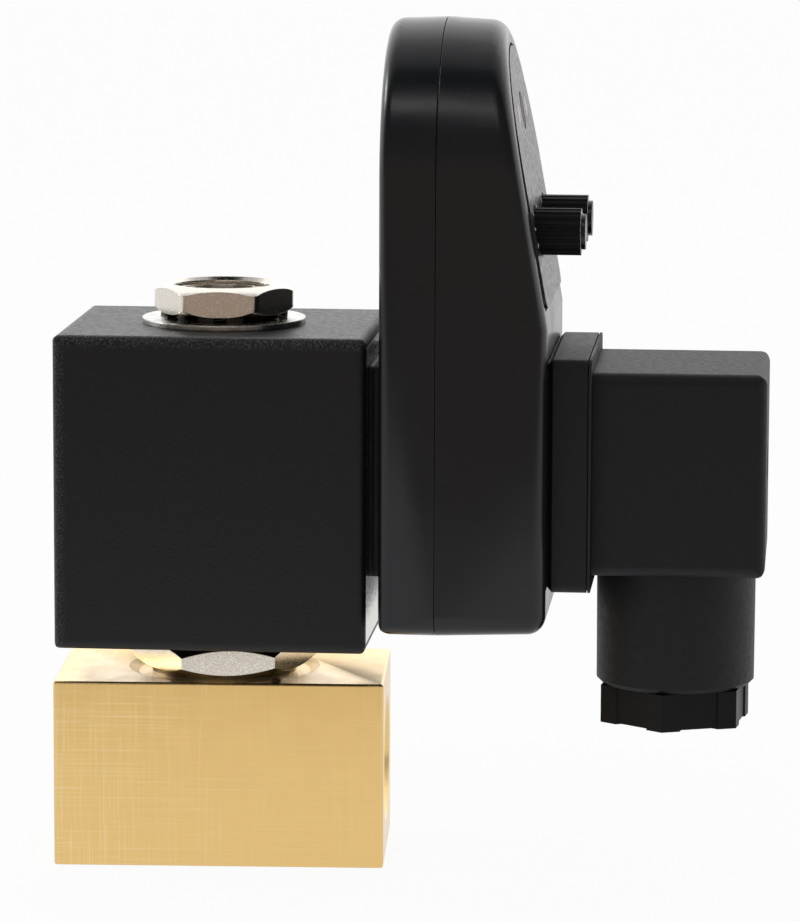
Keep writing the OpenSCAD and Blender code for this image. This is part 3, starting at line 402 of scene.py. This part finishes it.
def edge_highlight_grains(tree, place):
    """Mask of grains painted pale along the coil's top edges and down its free corner, a painted edge
    highlight.
    """
    middle_at, half = coil_block()
    square = add_node(tree, "ShaderNodeMapping", {"Location": middle_at, "Rotation": (0, 0, COIL_TURN)},
                      {"Vector": place}, vector_type="TEXTURE")
    out = add_node(tree, "ShaderNodeVectorMath", links={0: square.outputs["Vector"]}, operation="ABSOLUTE")
    into = add_node(tree, "ShaderNodeVectorMath", {0: half}, {1: out.outputs["Vector"]}, operation="SUBTRACT")
    past = add_node(tree, "ShaderNodeVectorMath", {0: half}, {1: square.outputs["Vector"]}, operation="ADD")
    side = add_node(tree, "ShaderNodeSeparateXYZ", links={0: square.outputs["Vector"]}).outputs
    inward = add_node(tree, "ShaderNodeSeparateXYZ", links={0: into.outputs["Vector"]}).outputs
    corner = add_node(tree, "ShaderNodeSeparateXYZ", links={0: past.outputs["Vector"]}).outputs
    below = add_node(tree, "ShaderNodeMath", {0: half.z}, {1: side["Z"]}, operation="SUBTRACT")
    near = add_node(tree, "ShaderNodeMath", links={0: inward["X"], 1: inward["Y"]}, operation="MINIMUM")
    top_edge = add_node(tree, "ShaderNodeMath", links={0: below.outputs[0], 1: near.outputs[0]},
                        operation="MAXIMUM")
    left_edge = add_node(tree, "ShaderNodeMath", links={0: corner["X"], 1: corner["Y"]}, operation="MAXIMUM")
    to_edge = add_node(tree, "ShaderNodeMath", links={0: top_edge.outputs[0], 1: left_edge.outputs[0]},
                       operation="MINIMUM")
    # Painted edge highlight: strongest within about a millimetre of the top edges and the free corner.
    highlit_edges = add_node(tree, "ShaderNodeMapRange",
                    {"From Min": 0.9 * MM, "From Max": 1.8 * MM, "To Min": 1.0, "To Max": 0.0},
                    {"Value": to_edge.outputs[0]})
    grains = add_node(tree, "ShaderNodeTexNoise", {"Scale": 1 / (0.25 * MM), "Detail": 2.0},
                      {"Vector": place})
    open_grains = add_node(tree, "ShaderNodeMapRange", {"From Min": 0.5, "From Max": 0.6, "To Max": 0.7},
                           {"Value": grains.outputs["Fac"]})
    painted_sheen = add_node(tree, "ShaderNodeMath",
                      links={0: highlit_edges.outputs["Result"], 1: open_grains.outputs["Result"]},
                      operation="MULTIPLY")
    return painted_sheen.outputs[0]


def filled_polyester(colours):
    # Glass-filled polyester moulded round the coil: matt black, its fine grain broken by painted glints where
    # short glass fibres show, and by grains painted paler along its edges as a painted edge highlight.
    material = surface("filled_polyester", colours.coil, 0.42, 0.35 * MM, 0.035 * MM, 1.0 * MM,
                       patch=0.7 * MM, spread=0.12, tone=0.16, **{"Specular IOR Level": 0.32})
    tree = material.node_tree
    place = tree.nodes["Texture Coordinate"].outputs["Object"]
    # Painted glints: scattered fibre specks painted paler.
    overlay(material, fibre_glints(tree, place), linear("#303030"))
    # Painted edge highlight: grains painted paler along the top edges and the free corner.
    overlay(material, edge_highlight_grains(tree, place), linear("#484848"))
    return material


def satin_nylon(colours):
    # Glass-filled nylon from a satin mould: even black with a soft sheen on its edges.
    return surface("satin_nylon", colours.case, 0.25, 0.22 * MM, 0.008 * MM, 0.2 * MM, spread=0.1,
                   **{"Specular IOR Level": 0.38})


def matt_nylon(colours):
    # Glass-filled nylon from a spark-eroded mould: black with a dry, even grain.
    return surface("matt_nylon", colours.case, 0.56, 0.3 * MM, 0.02 * MM, 0.2 * MM, patch=0.8 * MM,
                   spread=0.08, **{"Specular IOR Level": 0.3})


def moulded_nylon(colours):
    # Black nylon, moulded: slightly glossier on the flutes' crests.
    return surface("moulded_nylon", colours.knob, 0.45, 0.2 * MM, 0.004 * MM, 0.1 * MM,
                   **{"Specular IOR Level": 0.16})


def eroded_nylon(colours):
    # Moulded plate with a fine spark-eroded texture, which lights up in grains at a low angle.
    return surface("eroded_nylon", colours.case, 0.33, 0.4 * MM, 0.012 * MM, 0.08 * MM, patch=0.8 * MM,
                   spread=0.25, **{"Specular IOR Level": 0.54})


def natural_nylon(colours):
    # Undyed glass-filled nylon of the bobbin: cream and slightly waxy.
    return surface("natural_nylon", linear("#E6E0D0"), 0.42, 0.12 * MM, 0.006 * MM, 0.2 * MM)


def contact_nylon(colours):
    # Black nylon of the sockets and terminal block: matt, from an eroded mould.
    return surface("contact_nylon", linear("#1C1D1E"), 0.5, 0.15 * MM, 0.015 * MM, 0.15 * MM)


def masked_laminate(colours):
    # Green solder mask over woven glass cloth, about two threads a millimetre.
    return surface("masked_laminate", linear("#2F5B38"), 0.32, 0.45 * MM, 0.01 * MM, 0.05 * MM)


def epoxy_case(colours):
    # Epoxy-dipped and boxed components: blue-grey and smooth.
    return surface("epoxy_case", linear("#33425E"), 0.35, 0.3 * MM, 0.008 * MM, 0.2 * MM)


def red_polycarbonate(colours):
    # Moulded red polycarbonate over each indicator: deep, its face lightly frosted.
    return surface("red_polycarbonate", colours.lens, 0.2, 0.4 * MM, 0.008 * MM, 0.15 * MM, IOR=1.585,
                   **{"Transmission Weight": 0.15})


def nitrile_rubber(colours):
    # Moulded nitrile gaskets and rings: dead matt black with a dusty bloom.
    return surface("nitrile_rubber", linear("#1A1A1A"), 0.6, 0.1 * MM, 0.01 * MM, 0.1 * MM,
                   **{"Specular IOR Level": 0.35})


def fluoro_rubber(colours):
    # Hard fluoro-rubber seat seal: matt and slightly blue.
    return surface("fluoro_rubber", linear("#1A1D21"), 0.55, 0.1 * MM, 0.008 * MM, 0.1 * MM)


def printed_white(colours):
    # Screen-printed white ink: flat, thin and faintly mottled.
    return surface("printed_white", colours.marks, 0.5, 0.08 * MM, 0.002 * MM, 0.02 * MM)


# Finishes by material slot, and last those that a node or piece asks for by name.
FINISHES = {
    "brass": milled_brass, "nickel_steel": nickel_plate, "stainless": turned_stainless,
    "zinc_steel": zinc_plate, "spring_steel": drawn_wire, "magnetic_steel": plated_steel,
    "copper_wire": enamelled_copper, "copper": bare_copper, "tinned_brass": tinned_blades,
    "coil_resin": filled_polyester, "case_plastic": satin_nylon, "knob_plastic": moulded_nylon,
    "plate_film": eroded_nylon, "bobbin_plastic": natural_nylon, "terminal_plastic": contact_nylon,
    "board_laminate": masked_laminate, "component_case": epoxy_case, "lens_red": red_polycarbonate,
    "rubber": nitrile_rubber, "seal_rubber": fluoro_rubber,
    "tempered_steel": tempered_steel, "matt_nylon": matt_nylon, "printed_white": printed_white,
    "turned_brass": turned_brass,
}
FINISH_OF_NODE = {"plug_housing": "matt_nylon", "flat_washer": "zinc_steel"}
SLOT_OF_NODE = {part["node"]: part["material_slot"] for part in frame["record"]["subparts"]}
MADE = {}


def finish_for(name):
    """The material of a slot or finish, made at its first use."""
    if name not in MADE:
        MADE[name] = FINISHES[name](bpy.context.scene.drain_valve.colours)
    return MADE[name]


# ---- Modelling helpers ----

def activate(piece):
    """Selects one piece alone."""
    if bpy.context.mode != "OBJECT":
        bpy.ops.object.mode_set(mode="OBJECT")
    for other in bpy.context.view_layer.objects:
        other.select_set(False)
    piece.select_set(True)
    bpy.context.view_layer.objects.active = piece


def edit(piece):
    """Starts editing one piece with all of it selected."""
    activate(piece)
    bpy.ops.object.mode_set(mode="EDIT")
    bpy.ops.mesh.select_all(action="SELECT")


def apply_modifier(piece, kind, **settings):
    """Adds a modifier with its settings and applies it."""
    activate(piece)
    modifier = piece.modifiers.new(kind.title(), kind)
    for name, value in settings.items():
        setattr(modifier, name, value)
    bpy.ops.object.modifier_apply(modifier=modifier.name)


def cad_copy(node, name):
    """A merged copy of a CAD node, with its flat faces whole."""
    source = frame["nodes"][node]
    piece = bpy.data.objects.new(name, source.data.copy())
    bpy.context.scene.collection.objects.link(piece)
    edit(piece)
    bpy.ops.mesh.customdata_custom_splitnormals_clear()
    bpy.ops.mesh.remove_doubles(threshold=1e-6)
    bpy.ops.mesh.dissolve_limited(angle_limit=math.radians(0.2))
    bpy.ops.mesh.normals_make_consistent(inside=False)
    bpy.ops.object.mode_set(mode="OBJECT")
    return piece


def complete(piece, name, body, slot, smooth=30, finish=None):
    """Names a piece, applies its place, smooths it, gives it its finish and lets it ride on its body."""
    activate(piece)
    bpy.ops.object.transform_apply(location=True, rotation=True, scale=True)
    bpy.ops.object.shade_smooth_by_angle(angle=math.radians(smooth))
    piece.name = name
    piece.data.name = name
    piece.data.materials.clear()
    piece.data.materials.append(finish_for(finish or slot))
    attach(piece, body)
    return piece


def context_piece(name):
    """The piece that an operator has just added, named."""
    piece = bpy.context.object
    piece.name = name
    return piece


def copy_of(piece):
    """A copy of a piece with its own mesh."""
    copy = bpy.data.objects.new(piece.name, piece.data.copy())
    bpy.context.scene.collection.objects.link(copy)
    return copy


def upright_frame(place, outward):
    """A place whose Z points outward and whose Y points as far up as it can."""
    up = (Vector((0, 0, 1)) - outward * outward.z).normalized()
    return Matrix.Translation(place) @ Matrix((up.cross(outward), up, outward)).transposed().to_4x4()


def middle(node):
    """Centre of a CAD node's box."""
    low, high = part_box(node)
    return (low + high) / 2


def cut_thread(piece, centre, axis, radius, length, pitch, depth):
    """Cuts a helical V groove into the wall of a bore round the given centre."""
    # A circle of three points and radius 1 is a triangle 1.5 high and 1.73 wide, stood up to point outwards.
    upright = (Matrix.Rotation(math.pi / 2, 3, "X") @ Matrix.Rotation(-math.pi / 2, 3, "Z")).to_euler()
    bpy.ops.mesh.primitive_circle_add(vertices=3, radius=1, rotation=upright)
    groove = context_piece("groove")
    bpy.ops.object.transform_apply(rotation=True)
    edit(groove)
    bpy.ops.transform.resize(value=((depth + GROOVE_OVERLAP) / 1.5, 1, GROOVE_SHARE * pitch / math.sqrt(3)))
    tip = max(vertex.co.x for vertex in bmesh.from_edit_mesh(groove.data).verts)
    bpy.ops.transform.translate(value=(radius + depth - tip, 0, 0))
    bpy.ops.object.mode_set(mode="OBJECT")
    turns = math.floor(length / pitch) + 1
    apply_modifier(groove, "SCREW", angle=2 * math.pi, screw_offset=pitch, iterations=turns,
                   steps=THREAD_STEPS, render_steps=THREAD_STEPS, axis="Z")
    edit(groove)
    bpy.ops.mesh.select_all(action="DESELECT")
    bpy.ops.mesh.select_non_manifold()
    bpy.ops.mesh.edge_face_add()
    bpy.ops.mesh.select_all(action="SELECT")
    bpy.ops.mesh.normals_make_consistent(inside=False)
    bpy.ops.object.mode_set(mode="OBJECT")
    groove.matrix_world = (Matrix.Translation(centre - axis * (turns * pitch / 2))
                           @ axis.to_track_quat("Z", "Y").to_matrix().to_4x4())
    cut(piece, groove)


def cut(piece, cutter, operation="DIFFERENCE"):
    """Cuts one piece with another, which is then removed."""
    activate(cutter)
    bpy.ops.object.transform_apply(location=True, rotation=True, scale=True)
    apply_modifier(piece, "BOOLEAN", operation=operation, object=cutter, solver="EXACT")
    bpy.data.objects.remove(cutter)


def lathe(name, outline, axis_at):
    """A closed solid turned about an upright axis from an outline of (radius, height) points."""
    bpy.ops.mesh.primitive_plane_add(size=MM)
    piece = context_piece(name)
    edit(piece)
    bpy.ops.mesh.select_mode(type="VERT")
    bpy.ops.mesh.merge(type="CENTER")
    bpy.ops.transform.translate(value=(outline[0][0], 0, outline[0][1]))
    for (radius, height), (next_radius, next_height) in zip(outline, outline[1:]):
        step = (next_radius - radius, 0, next_height - height)
        bpy.ops.mesh.extrude_vertices_move(TRANSFORM_OT_translate={"value": step})
    bpy.ops.mesh.select_all(action="SELECT")
    bpy.ops.mesh.spin(steps=LATHE_STEPS, angle=2 * math.pi, center=(0, 0, 0), axis=(0, 0, 1))
    bpy.ops.mesh.select_all(action="SELECT")
    bpy.ops.mesh.remove_doubles(threshold=1e-6)
    bpy.ops.mesh.normals_make_consistent(inside=False)
    bpy.ops.transform.translate(value=(axis_at.x, axis_at.y, 0))
    bpy.ops.object.mode_set(mode="OBJECT")
    return piece


def smallest_radius(node, centre):
    """Radius of the bore through a CAD node, about an upright axis."""
    return min((v.co - centre).xy.length for v in frame["nodes"][node].data.vertices)


# ---- Operators ----

class DRAINVALVE_OT_finishes(bpy.types.Operator):
    """Give every CAD node its finish"""

    bl_idname = "drain_valve.finishes"
    bl_label = "Finishes"

    def execute(self, context):
        for name, part in frame["nodes"].items():
            material = finish_for(FINISH_OF_NODE.get(name, SLOT_OF_NODE[name]))
            for slot in part.material_slots:
                slot.material = material
        return {"FINISHED"}


class DRAINVALVE_OT_stage(bpy.types.Operator):
    """Set up the floor, the sky, the lamps and the camera"""

    bl_idname = "drain_valve.stage"
    bl_label = "Stage"

    def execute(self, context):
        stage = context.scene.drain_valve.stage
        context.scene.view_settings.view_transform = "Standard"
        self.add_floor(context)
        self.add_sky(context, stage)
        aim = middle("timer_rear_shell") / 2
        self.add_lamp(context, "front_lamp", stage.front, aim, **FRONT_LAMP)
        self.add_lamp(context, "left_lamp", stage.left, aim, **LEFT_LAMP)
        self.add_camera(context, stage)
        return {"FINISHED"}

    def add_floor(self, context):
        # The sheet ends a little in front of the valve, so that its reflection stops there.
        bpy.ops.mesh.primitive_plane_add(size=FLOOR_SIZE, location=(0, FLOOR_SIZE / 2 - FLOOR_FRONT, 0))
        floor = context_piece("floor")
        bpy.ops.object.transform_apply(location=True)
        colour = context.scene.drain_valve.colours.floor
        material = surface("pale_floor", colour, 0.6, 0.3 * MM, 0.004 * MM, 0)
        tree = material.node_tree
        shader = tree.nodes["Principled BSDF"].outputs["BSDF"]
        rays = add_node(tree, "ShaderNodeLightPath")
        mirrored = add_node(tree, "ShaderNodeMath",
                            links={0: rays.outputs["Is Glossy Ray"], 1: rays.outputs["Is Transmission Ray"]},
                            operation="MAXIMUM")
        looked_at = add_node(tree, "ShaderNodeMath",
                             links={0: rays.outputs["Is Camera Ray"], 1: mirrored.outputs[0]},
                             operation="MAXIMUM")
        seen = add_node(tree, "ShaderNodeMath", {1: FLOOR_WHITE}, {0: looked_at.outputs[0]},
                        operation="MULTIPLY")
        white = add_node(tree, "ShaderNodeEmission", {"Color": (1, 1, 1, 1), "Strength": 1.0})
        both = add_node(tree, "ShaderNodeMixShader",
                        links={0: seen.outputs[0], 1: shader, 2: white.outputs[0]})
        tree.links.new(both.outputs[0], tree.nodes["Material Output"].inputs["Surface"])
        floor.data.materials.append(material)

    def add_sky(self, context, stage):
        world = bpy.data.worlds.new("studio")
        context.scene.world = world
        world.use_nodes = True
        tree = world.node_tree
        tree.nodes.clear()
        rays = add_node(tree, "ShaderNodeLightPath")
        direction = add_node(tree, "ShaderNodeSeparateXYZ",
                             links={0: add_node(tree, "ShaderNodeTexCoord").outputs["Generated"]})
        # Angle round the object from behind it, over its top, to the camera's side.
        height = add_node(tree, "ShaderNodeMath", links={0: direction.outputs["Z"]}, operation="ABSOLUTE")
        angle = add_node(tree, "ShaderNodeMath", links={0: height.outputs[0], 1: direction.outputs["Y"]},
                         operation="ARCTAN2")
        turn = add_node(tree, "ShaderNodeMath", {1: math.pi}, {0: angle.outputs[0]}, operation="DIVIDE")
        arch = add_node(tree, "ShaderNodeValToRGB", links={0: turn.outputs[0]})
        stops = arch.color_ramp.elements
        stops[0].position, stops[0].color = SKY_ARCH[0]
        stops[1].position, stops[1].color = SKY_ARCH[-1]
        for position, colour in SKY_ARCH[1:-1]:
            stops.new(position).color = colour
        even = add_node(tree, "ShaderNodeBackground", {"Color": (1, 1, 1, 1), "Strength": stage.sky})
        reflected = add_node(tree, "ShaderNodeBackground", {"Strength": stage.mirror},
                             {"Color": arch.outputs["Color"]})
        white = add_node(tree, "ShaderNodeBackground", {"Color": (1, 1, 1, 1), "Strength": 1.0})
        mirrored = add_node(tree, "ShaderNodeMath",
                            links={0: rays.outputs["Is Glossy Ray"], 1: rays.outputs["Is Transmission Ray"]},
                            operation="MAXIMUM")
        lit = add_node(tree, "ShaderNodeMixShader",
                       links={0: mirrored.outputs[0], 1: even.outputs[0], 2: reflected.outputs[0]})
        seen = add_node(tree, "ShaderNodeMixShader",
                        links={0: rays.outputs["Is Camera Ray"], 1: lit.outputs[0], 2: white.outputs[0]})
        add_node(tree, "ShaderNodeOutputWorld", links={"Surface": seen.outputs[0]})

    def add_lamp(self, context, name, power, aim, direction, size):
        data = bpy.data.lights.new(name, "AREA")
        data.shape = "RECTANGLE"
        data.size, data.size_y = size
        data.energy = power
        lamp = bpy.data.objects.new(name, data)
        direction = Vector(direction)
        lamp.location = aim + direction.normalized() * LAMP_DISTANCE
        lamp.rotation_euler = direction.to_track_quat("Z", "Y").to_euler()
        context.scene.collection.objects.link(lamp)

    def add_camera(self, context, stage):
        data = bpy.data.cameras.new("camera")
        data.lens = stage.lens
        camera = bpy.data.objects.new("camera", data)
        camera.location = stage.camera_place
        turn = Matrix.Rotation(stage.camera_turn, 3, "Z")
        down = Matrix.Rotation(math.pi / 2 - stage.camera_down, 3, "X")
        roll = Matrix.Rotation(stage.camera_roll, 3, "Z")
        camera.rotation_euler = (turn @ down @ roll).to_euler()
        context.scene.collection.objects.link(camera)
        context.scene.camera = camera


class DRAINVALVE_OT_brass_body(bpy.types.Operator):
    """Cut the pipe threads into the brass body's ports"""

    bl_idname = "drain_valve.brass_body"
    bl_label = "Brass body"

    def execute(self, context):
        sizes = context.scene.drain_valve.sizes
        body = cad_copy("valve_body", "brass_body")
        for mount in frame["record"]["mounts"]:
            if mount["kind"] == "threaded_hole":
                cut_thread(body, Vector(mount["pos_m"]), Vector(mount["axis"]), mount["dims"]["r_mm"] * MM,
                           mount["dims"]["length_mm"] * MM, sizes.port_pitch, sizes.port_thread)
        complete(body, "brass_body", VALVE_BODY, "brass")
        body.data.materials.append(finish_for("turned_brass"))
        centre, top = middle("core_tube"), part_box("valve_body")[1].z
        for face in body.data.polygons:
            inward = (centre - face.center).xy
            dished = face.normal.z > DISH_FACING and face.normal.xy.dot(inward) > 0
            if dished and top - MM < face.center.z < top:
                face.material_index = 1
        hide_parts("valve_body")
        return {"FINISHED"}


class DRAINVALVE_OT_timer_case(bpy.types.Operator):
    """Smooth the timer's two moulded shells"""

    bl_idname = "drain_valve.timer_case"
    bl_label = "Timer case"

    def execute(self, context):
        square = Matrix.Rotation(-COIL_TURN, 3, "Z")
        collar_root = (square @ middle("plug_gasket")).x - COLLAR_LENGTH
        for node, name in (("timer_front_shell", "front_shell"), ("timer_rear_shell", "rear_shell")):
            shell = cad_copy(node, name)
            complete(shell, name, COIL_BODY, "case_plastic", 40)
            shell.data.materials.append(finish_for("matt_nylon"))
            for face in shell.data.polygons:
                if (square @ face.center).x > collar_root:
                    face.material_index = 1
            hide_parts(node)
        return {"FINISHED"}


class DRAINVALVE_OT_knobs(bpy.types.Operator):
    """Cut the pointer slot into both knobs and print the marks round them"""

    bl_idname = "drain_valve.knobs"
    bl_label = "Knobs and dial marks"

    def execute(self, context):
        sizes = context.scene.drain_valve.sizes
        for node in ("interval_knob", "drain_knob"):
            turn = joint(node + "_turn")
            axis, pivot = Vector(turn["axis"]).normalized(), Vector(turn["pos_m"])
            self.make_knob(node, axis, pivot, sizes)
            low, high = turn["range_deg"]
            self.make_marks(node, axis, pivot, math.radians(high - low), sizes)
        return {"FINISHED"}

    def make_knob(self, node, axis, pivot, sizes):
        knob = cad_copy(node, node + "_slotted")
        tip = max((v.co - pivot).dot(axis) for v in knob.data.vertices)
        bpy.ops.mesh.primitive_cube_add(size=1)
        slot = context_piece("slot")
        edit(slot)
        bpy.ops.transform.resize(value=(sizes.pointer_width, KNOB_RADIUS, 2 * sizes.pointer_depth))
        bpy.ops.transform.translate(value=(0, KNOB_RADIUS / 2 - sizes.pointer_width / 2, 0))
        bpy.ops.object.mode_set(mode="OBJECT")
        slot.matrix_world = upright_frame(pivot + axis * tip, axis)
        cut(knob, slot)
        complete(knob, knob.name, node, "knob_plastic")
        knob.data.materials.append(finish_for("case_plastic"))
        knob.data.materials.append(finish_for("printed_white"))
        for face in knob.data.polygons:
            back = tip - (face.center - pivot).dot(axis)
            if back < CAP_LENGTH:
                face.material_index = 1
                if face.normal.dot(axis) > CAP_FACING and back > sizes.pointer_depth / 2:
                    face.material_index = 2
        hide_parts(node)

    def make_marks(self, node, axis, pivot, sweep, sizes):
        faces = frame["nodes"]["face_plate"].data.polygons
        front = max(faces, key=lambda face: face.area * face.normal.dot(axis))
        centre = pivot + axis * ((front.center - pivot).dot(front.normal) / axis.dot(front.normal))
        bpy.ops.mesh.primitive_plane_add(size=1)
        mark = context_piece(node.replace("knob", "marks"))
        edit(mark)
        bpy.ops.transform.resize(value=(sizes.mark_width, sizes.mark_length, 1))
        bpy.ops.mesh.bevel(offset=sizes.mark_width * 0.4, segments=3, affect="VERTICES")
        bpy.ops.mesh.extrude_region_move(TRANSFORM_OT_translate={"value": (0, 0, INK_THICKNESS)})
        bpy.ops.mesh.select_all(action="SELECT")
        bpy.ops.mesh.normals_make_consistent(inside=False)
        bpy.ops.transform.translate(value=(0, KNOB_RADIUS + sizes.mark_gap + sizes.mark_length / 2, 0))
        bpy.ops.object.mode_set(mode="OBJECT")
        marks = [mark] + [copy_of(mark) for _ in range(DIAL_MARKS - 1)]
        placed = upright_frame(centre, front.normal)
        for index, each in enumerate(marks):
            angle = sweep * (index / (DIAL_MARKS - 1) - 0.5)
            each.matrix_world = placed @ Matrix.Rotation(angle, 4, "Z")
        activate(mark)
        for each in marks:
            each.select_set(True)
        bpy.ops.object.join()
        complete(mark, mark.name, COIL_BODY, "plate_film", finish="printed_white")


class DRAINVALVE_OT_plunger_spring(bpy.types.Operator):
    """Give the plunger's spring a smooth-shaded copy with a mesh of its own"""

    bl_idname = "drain_valve.plunger_spring"
    bl_label = "Plunger spring"

    def execute(self, context):
        spring = cad_copy("plunger_spring", "coiled_spring")
        complete(spring, "coiled_spring", VALVE_BODY, "spring_steel", 60)
        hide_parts("plunger_spring")
        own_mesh(spring)
        return {"FINISHED"}


class DRAINVALVE_OT_coil_nut(bpy.types.Operator):
    """Make the crowned and threaded nut that holds the coil"""

    bl_idname = "drain_valve.coil_nut"
    bl_label = "Coil nut"

    def execute(self, context):
        sizes = context.scene.drain_valve.sizes
        low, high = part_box("coil_nut")
        centre, height = middle("coil_nut"), high.z - low.z
        corner = max((vertex.co - centre for vertex in frame["nodes"]["coil_nut"].data.vertices),
                     key=lambda place: place.xy.length)
        radius = corner.xy.length
        bpy.ops.mesh.primitive_cylinder_add(vertices=6, radius=radius, depth=height, location=centre)
        nut = context_piece("nut")
        nut.rotation_euler.z = math.atan2(corner.y, corner.x) - math.pi / 2
        bpy.ops.object.transform_apply(location=True, rotation=True)
        edit(nut)
        bpy.ops.mesh.select_mode(type="EDGE")
        bpy.ops.mesh.select_all(action="DESELECT")
        for edge in bmesh.from_edit_mesh(nut.data).edges:
            edge.select_set(abs(edge.verts[0].co.z - edge.verts[1].co.z) > height / 2)
        bpy.ops.mesh.bevel(offset=NUT_EDGE_ROUND, segments=5)
        bpy.ops.object.mode_set(mode="OBJECT")
        wide = (radius + CROWN_CLEARANCE) / CROWN_RADIUS
        crown = [(r * wide, low.z + z / CROWN_HEIGHT * height) for r, z in CROWN]
        cut(nut, lathe("crown", crown, centre), "INTERSECT")
        bore = smallest_radius("coil_nut", centre)
        mouth = bore + NUT_COUNTERSINK
        opening = [(0, -MM), (mouth, -MM), (mouth, 0), (bore, NUT_COUNTERSINK),
                   (bore, height - NUT_COUNTERSINK), (mouth, height), (mouth, height + MM), (0, height + MM)]
        cut(nut, lathe("opening", [(r, low.z + z) for r, z in opening], centre))
        cut_thread(nut, centre, Vector((0, 0, 1)), bore, height, sizes.nut_pitch, sizes.nut_thread)
        complete(nut, "crowned_nut", VALVE_BODY, "nickel_steel", 35)
        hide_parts("coil_nut")
        return {"FINISHED"}


class DRAINVALVE_OT_lock_washer(bpy.types.Operator):
    """Twist the teeth of the lock washer"""

    bl_idname = "drain_valve.lock_washer"
    bl_label = "Lock washer"

    def execute(self, context):
        twist = context.scene.drain_valve.sizes.tooth_twist
        washer = cad_copy("lock_washer", "toothed_washer")
        centre = middle("lock_washer")
        reach = max((vertex.co - centre).xy.length for vertex in washer.data.vertices)
        for index in range(WASHER_TEETH):
            angle = math.radians(360 / WASHER_TEETH * index)
            out = Vector((math.cos(angle), math.sin(angle), 0))
            axis = Matrix((out, out.cross(Vector((0, 0, 1))), (0, 0, 1))).transposed()
            edit(washer)
            bpy.ops.mesh.select_all(action="DESELECT")
            mesh = bmesh.from_edit_mesh(washer.data)
            for vertex in mesh.verts:
                away = vertex.co - centre
                if away.xy.length > reach - TOOTH_BAND and away.normalized().dot(out) > TOOTH_FACING:
                    vertex.select_set(True)
            mesh.select_flush_mode()
            bpy.ops.transform.resize(value=(1, 1, TOOTH_THICKNESS), center_override=centre)
            bpy.ops.transform.rotate(value=twist, orient_axis="X", orient_type="GLOBAL", orient_matrix=axis,
                                     center_override=centre + out * reach)
            bpy.ops.object.mode_set(mode="OBJECT")
        complete(washer, "toothed_washer", VALVE_BODY, "nickel_steel", finish="tempered_steel")
        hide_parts("lock_washer")
        return {"FINISHED"}


class DRAINVALVE_PT_sidebar(bpy.types.Panel):
    """The drain valve's pieces and settings"""

    bl_label = "Drain Valve"
    bl_idname = "DRAINVALVE_PT_sidebar"
    bl_space_type = "VIEW_3D"
    bl_region_type = "UI"
    bl_category = "Drain Valve"

    def draw(self, context):
        settings = context.scene.drain_valve
        for group in (settings.colours, settings.sizes, settings.stage):
            box = self.layout.box()
            for name in group.__annotations__:
                box.prop(group, name)
        for operator in OPERATORS:
            self.layout.operator(operator.bl_idname)


GROUPS = (DrainValveColours, DrainValveSizes, DrainValveStage, DrainValveSettings)
OPERATORS = (DRAINVALVE_OT_stage, DRAINVALVE_OT_finishes, DRAINVALVE_OT_brass_body,
             DRAINVALVE_OT_timer_case, DRAINVALVE_OT_knobs, DRAINVALVE_OT_coil_nut,
             DRAINVALVE_OT_lock_washer, DRAINVALVE_OT_plunger_spring)
CLASSES = GROUPS + OPERATORS + (DRAINVALVE_PT_sidebar,)


def register():
    for cls in CLASSES:
        bpy.utils.register_class(cls)
    bpy.types.Scene.drain_valve = bpy.props.PointerProperty(type=DrainValveSettings, name="Drain valve",
                                                            description="Settings of the drain valve")


def unregister():
    del bpy.types.Scene.drain_valve
    for cls in reversed(CLASSES):
        bpy.utils.unregister_class(cls)


def main():
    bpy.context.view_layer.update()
    register()
    for operator in OPERATORS:
        group, name = operator.bl_idname.split(".")
        getattr(getattr(bpy.ops, group), name)()


if __name__ == "__main__":
    main()
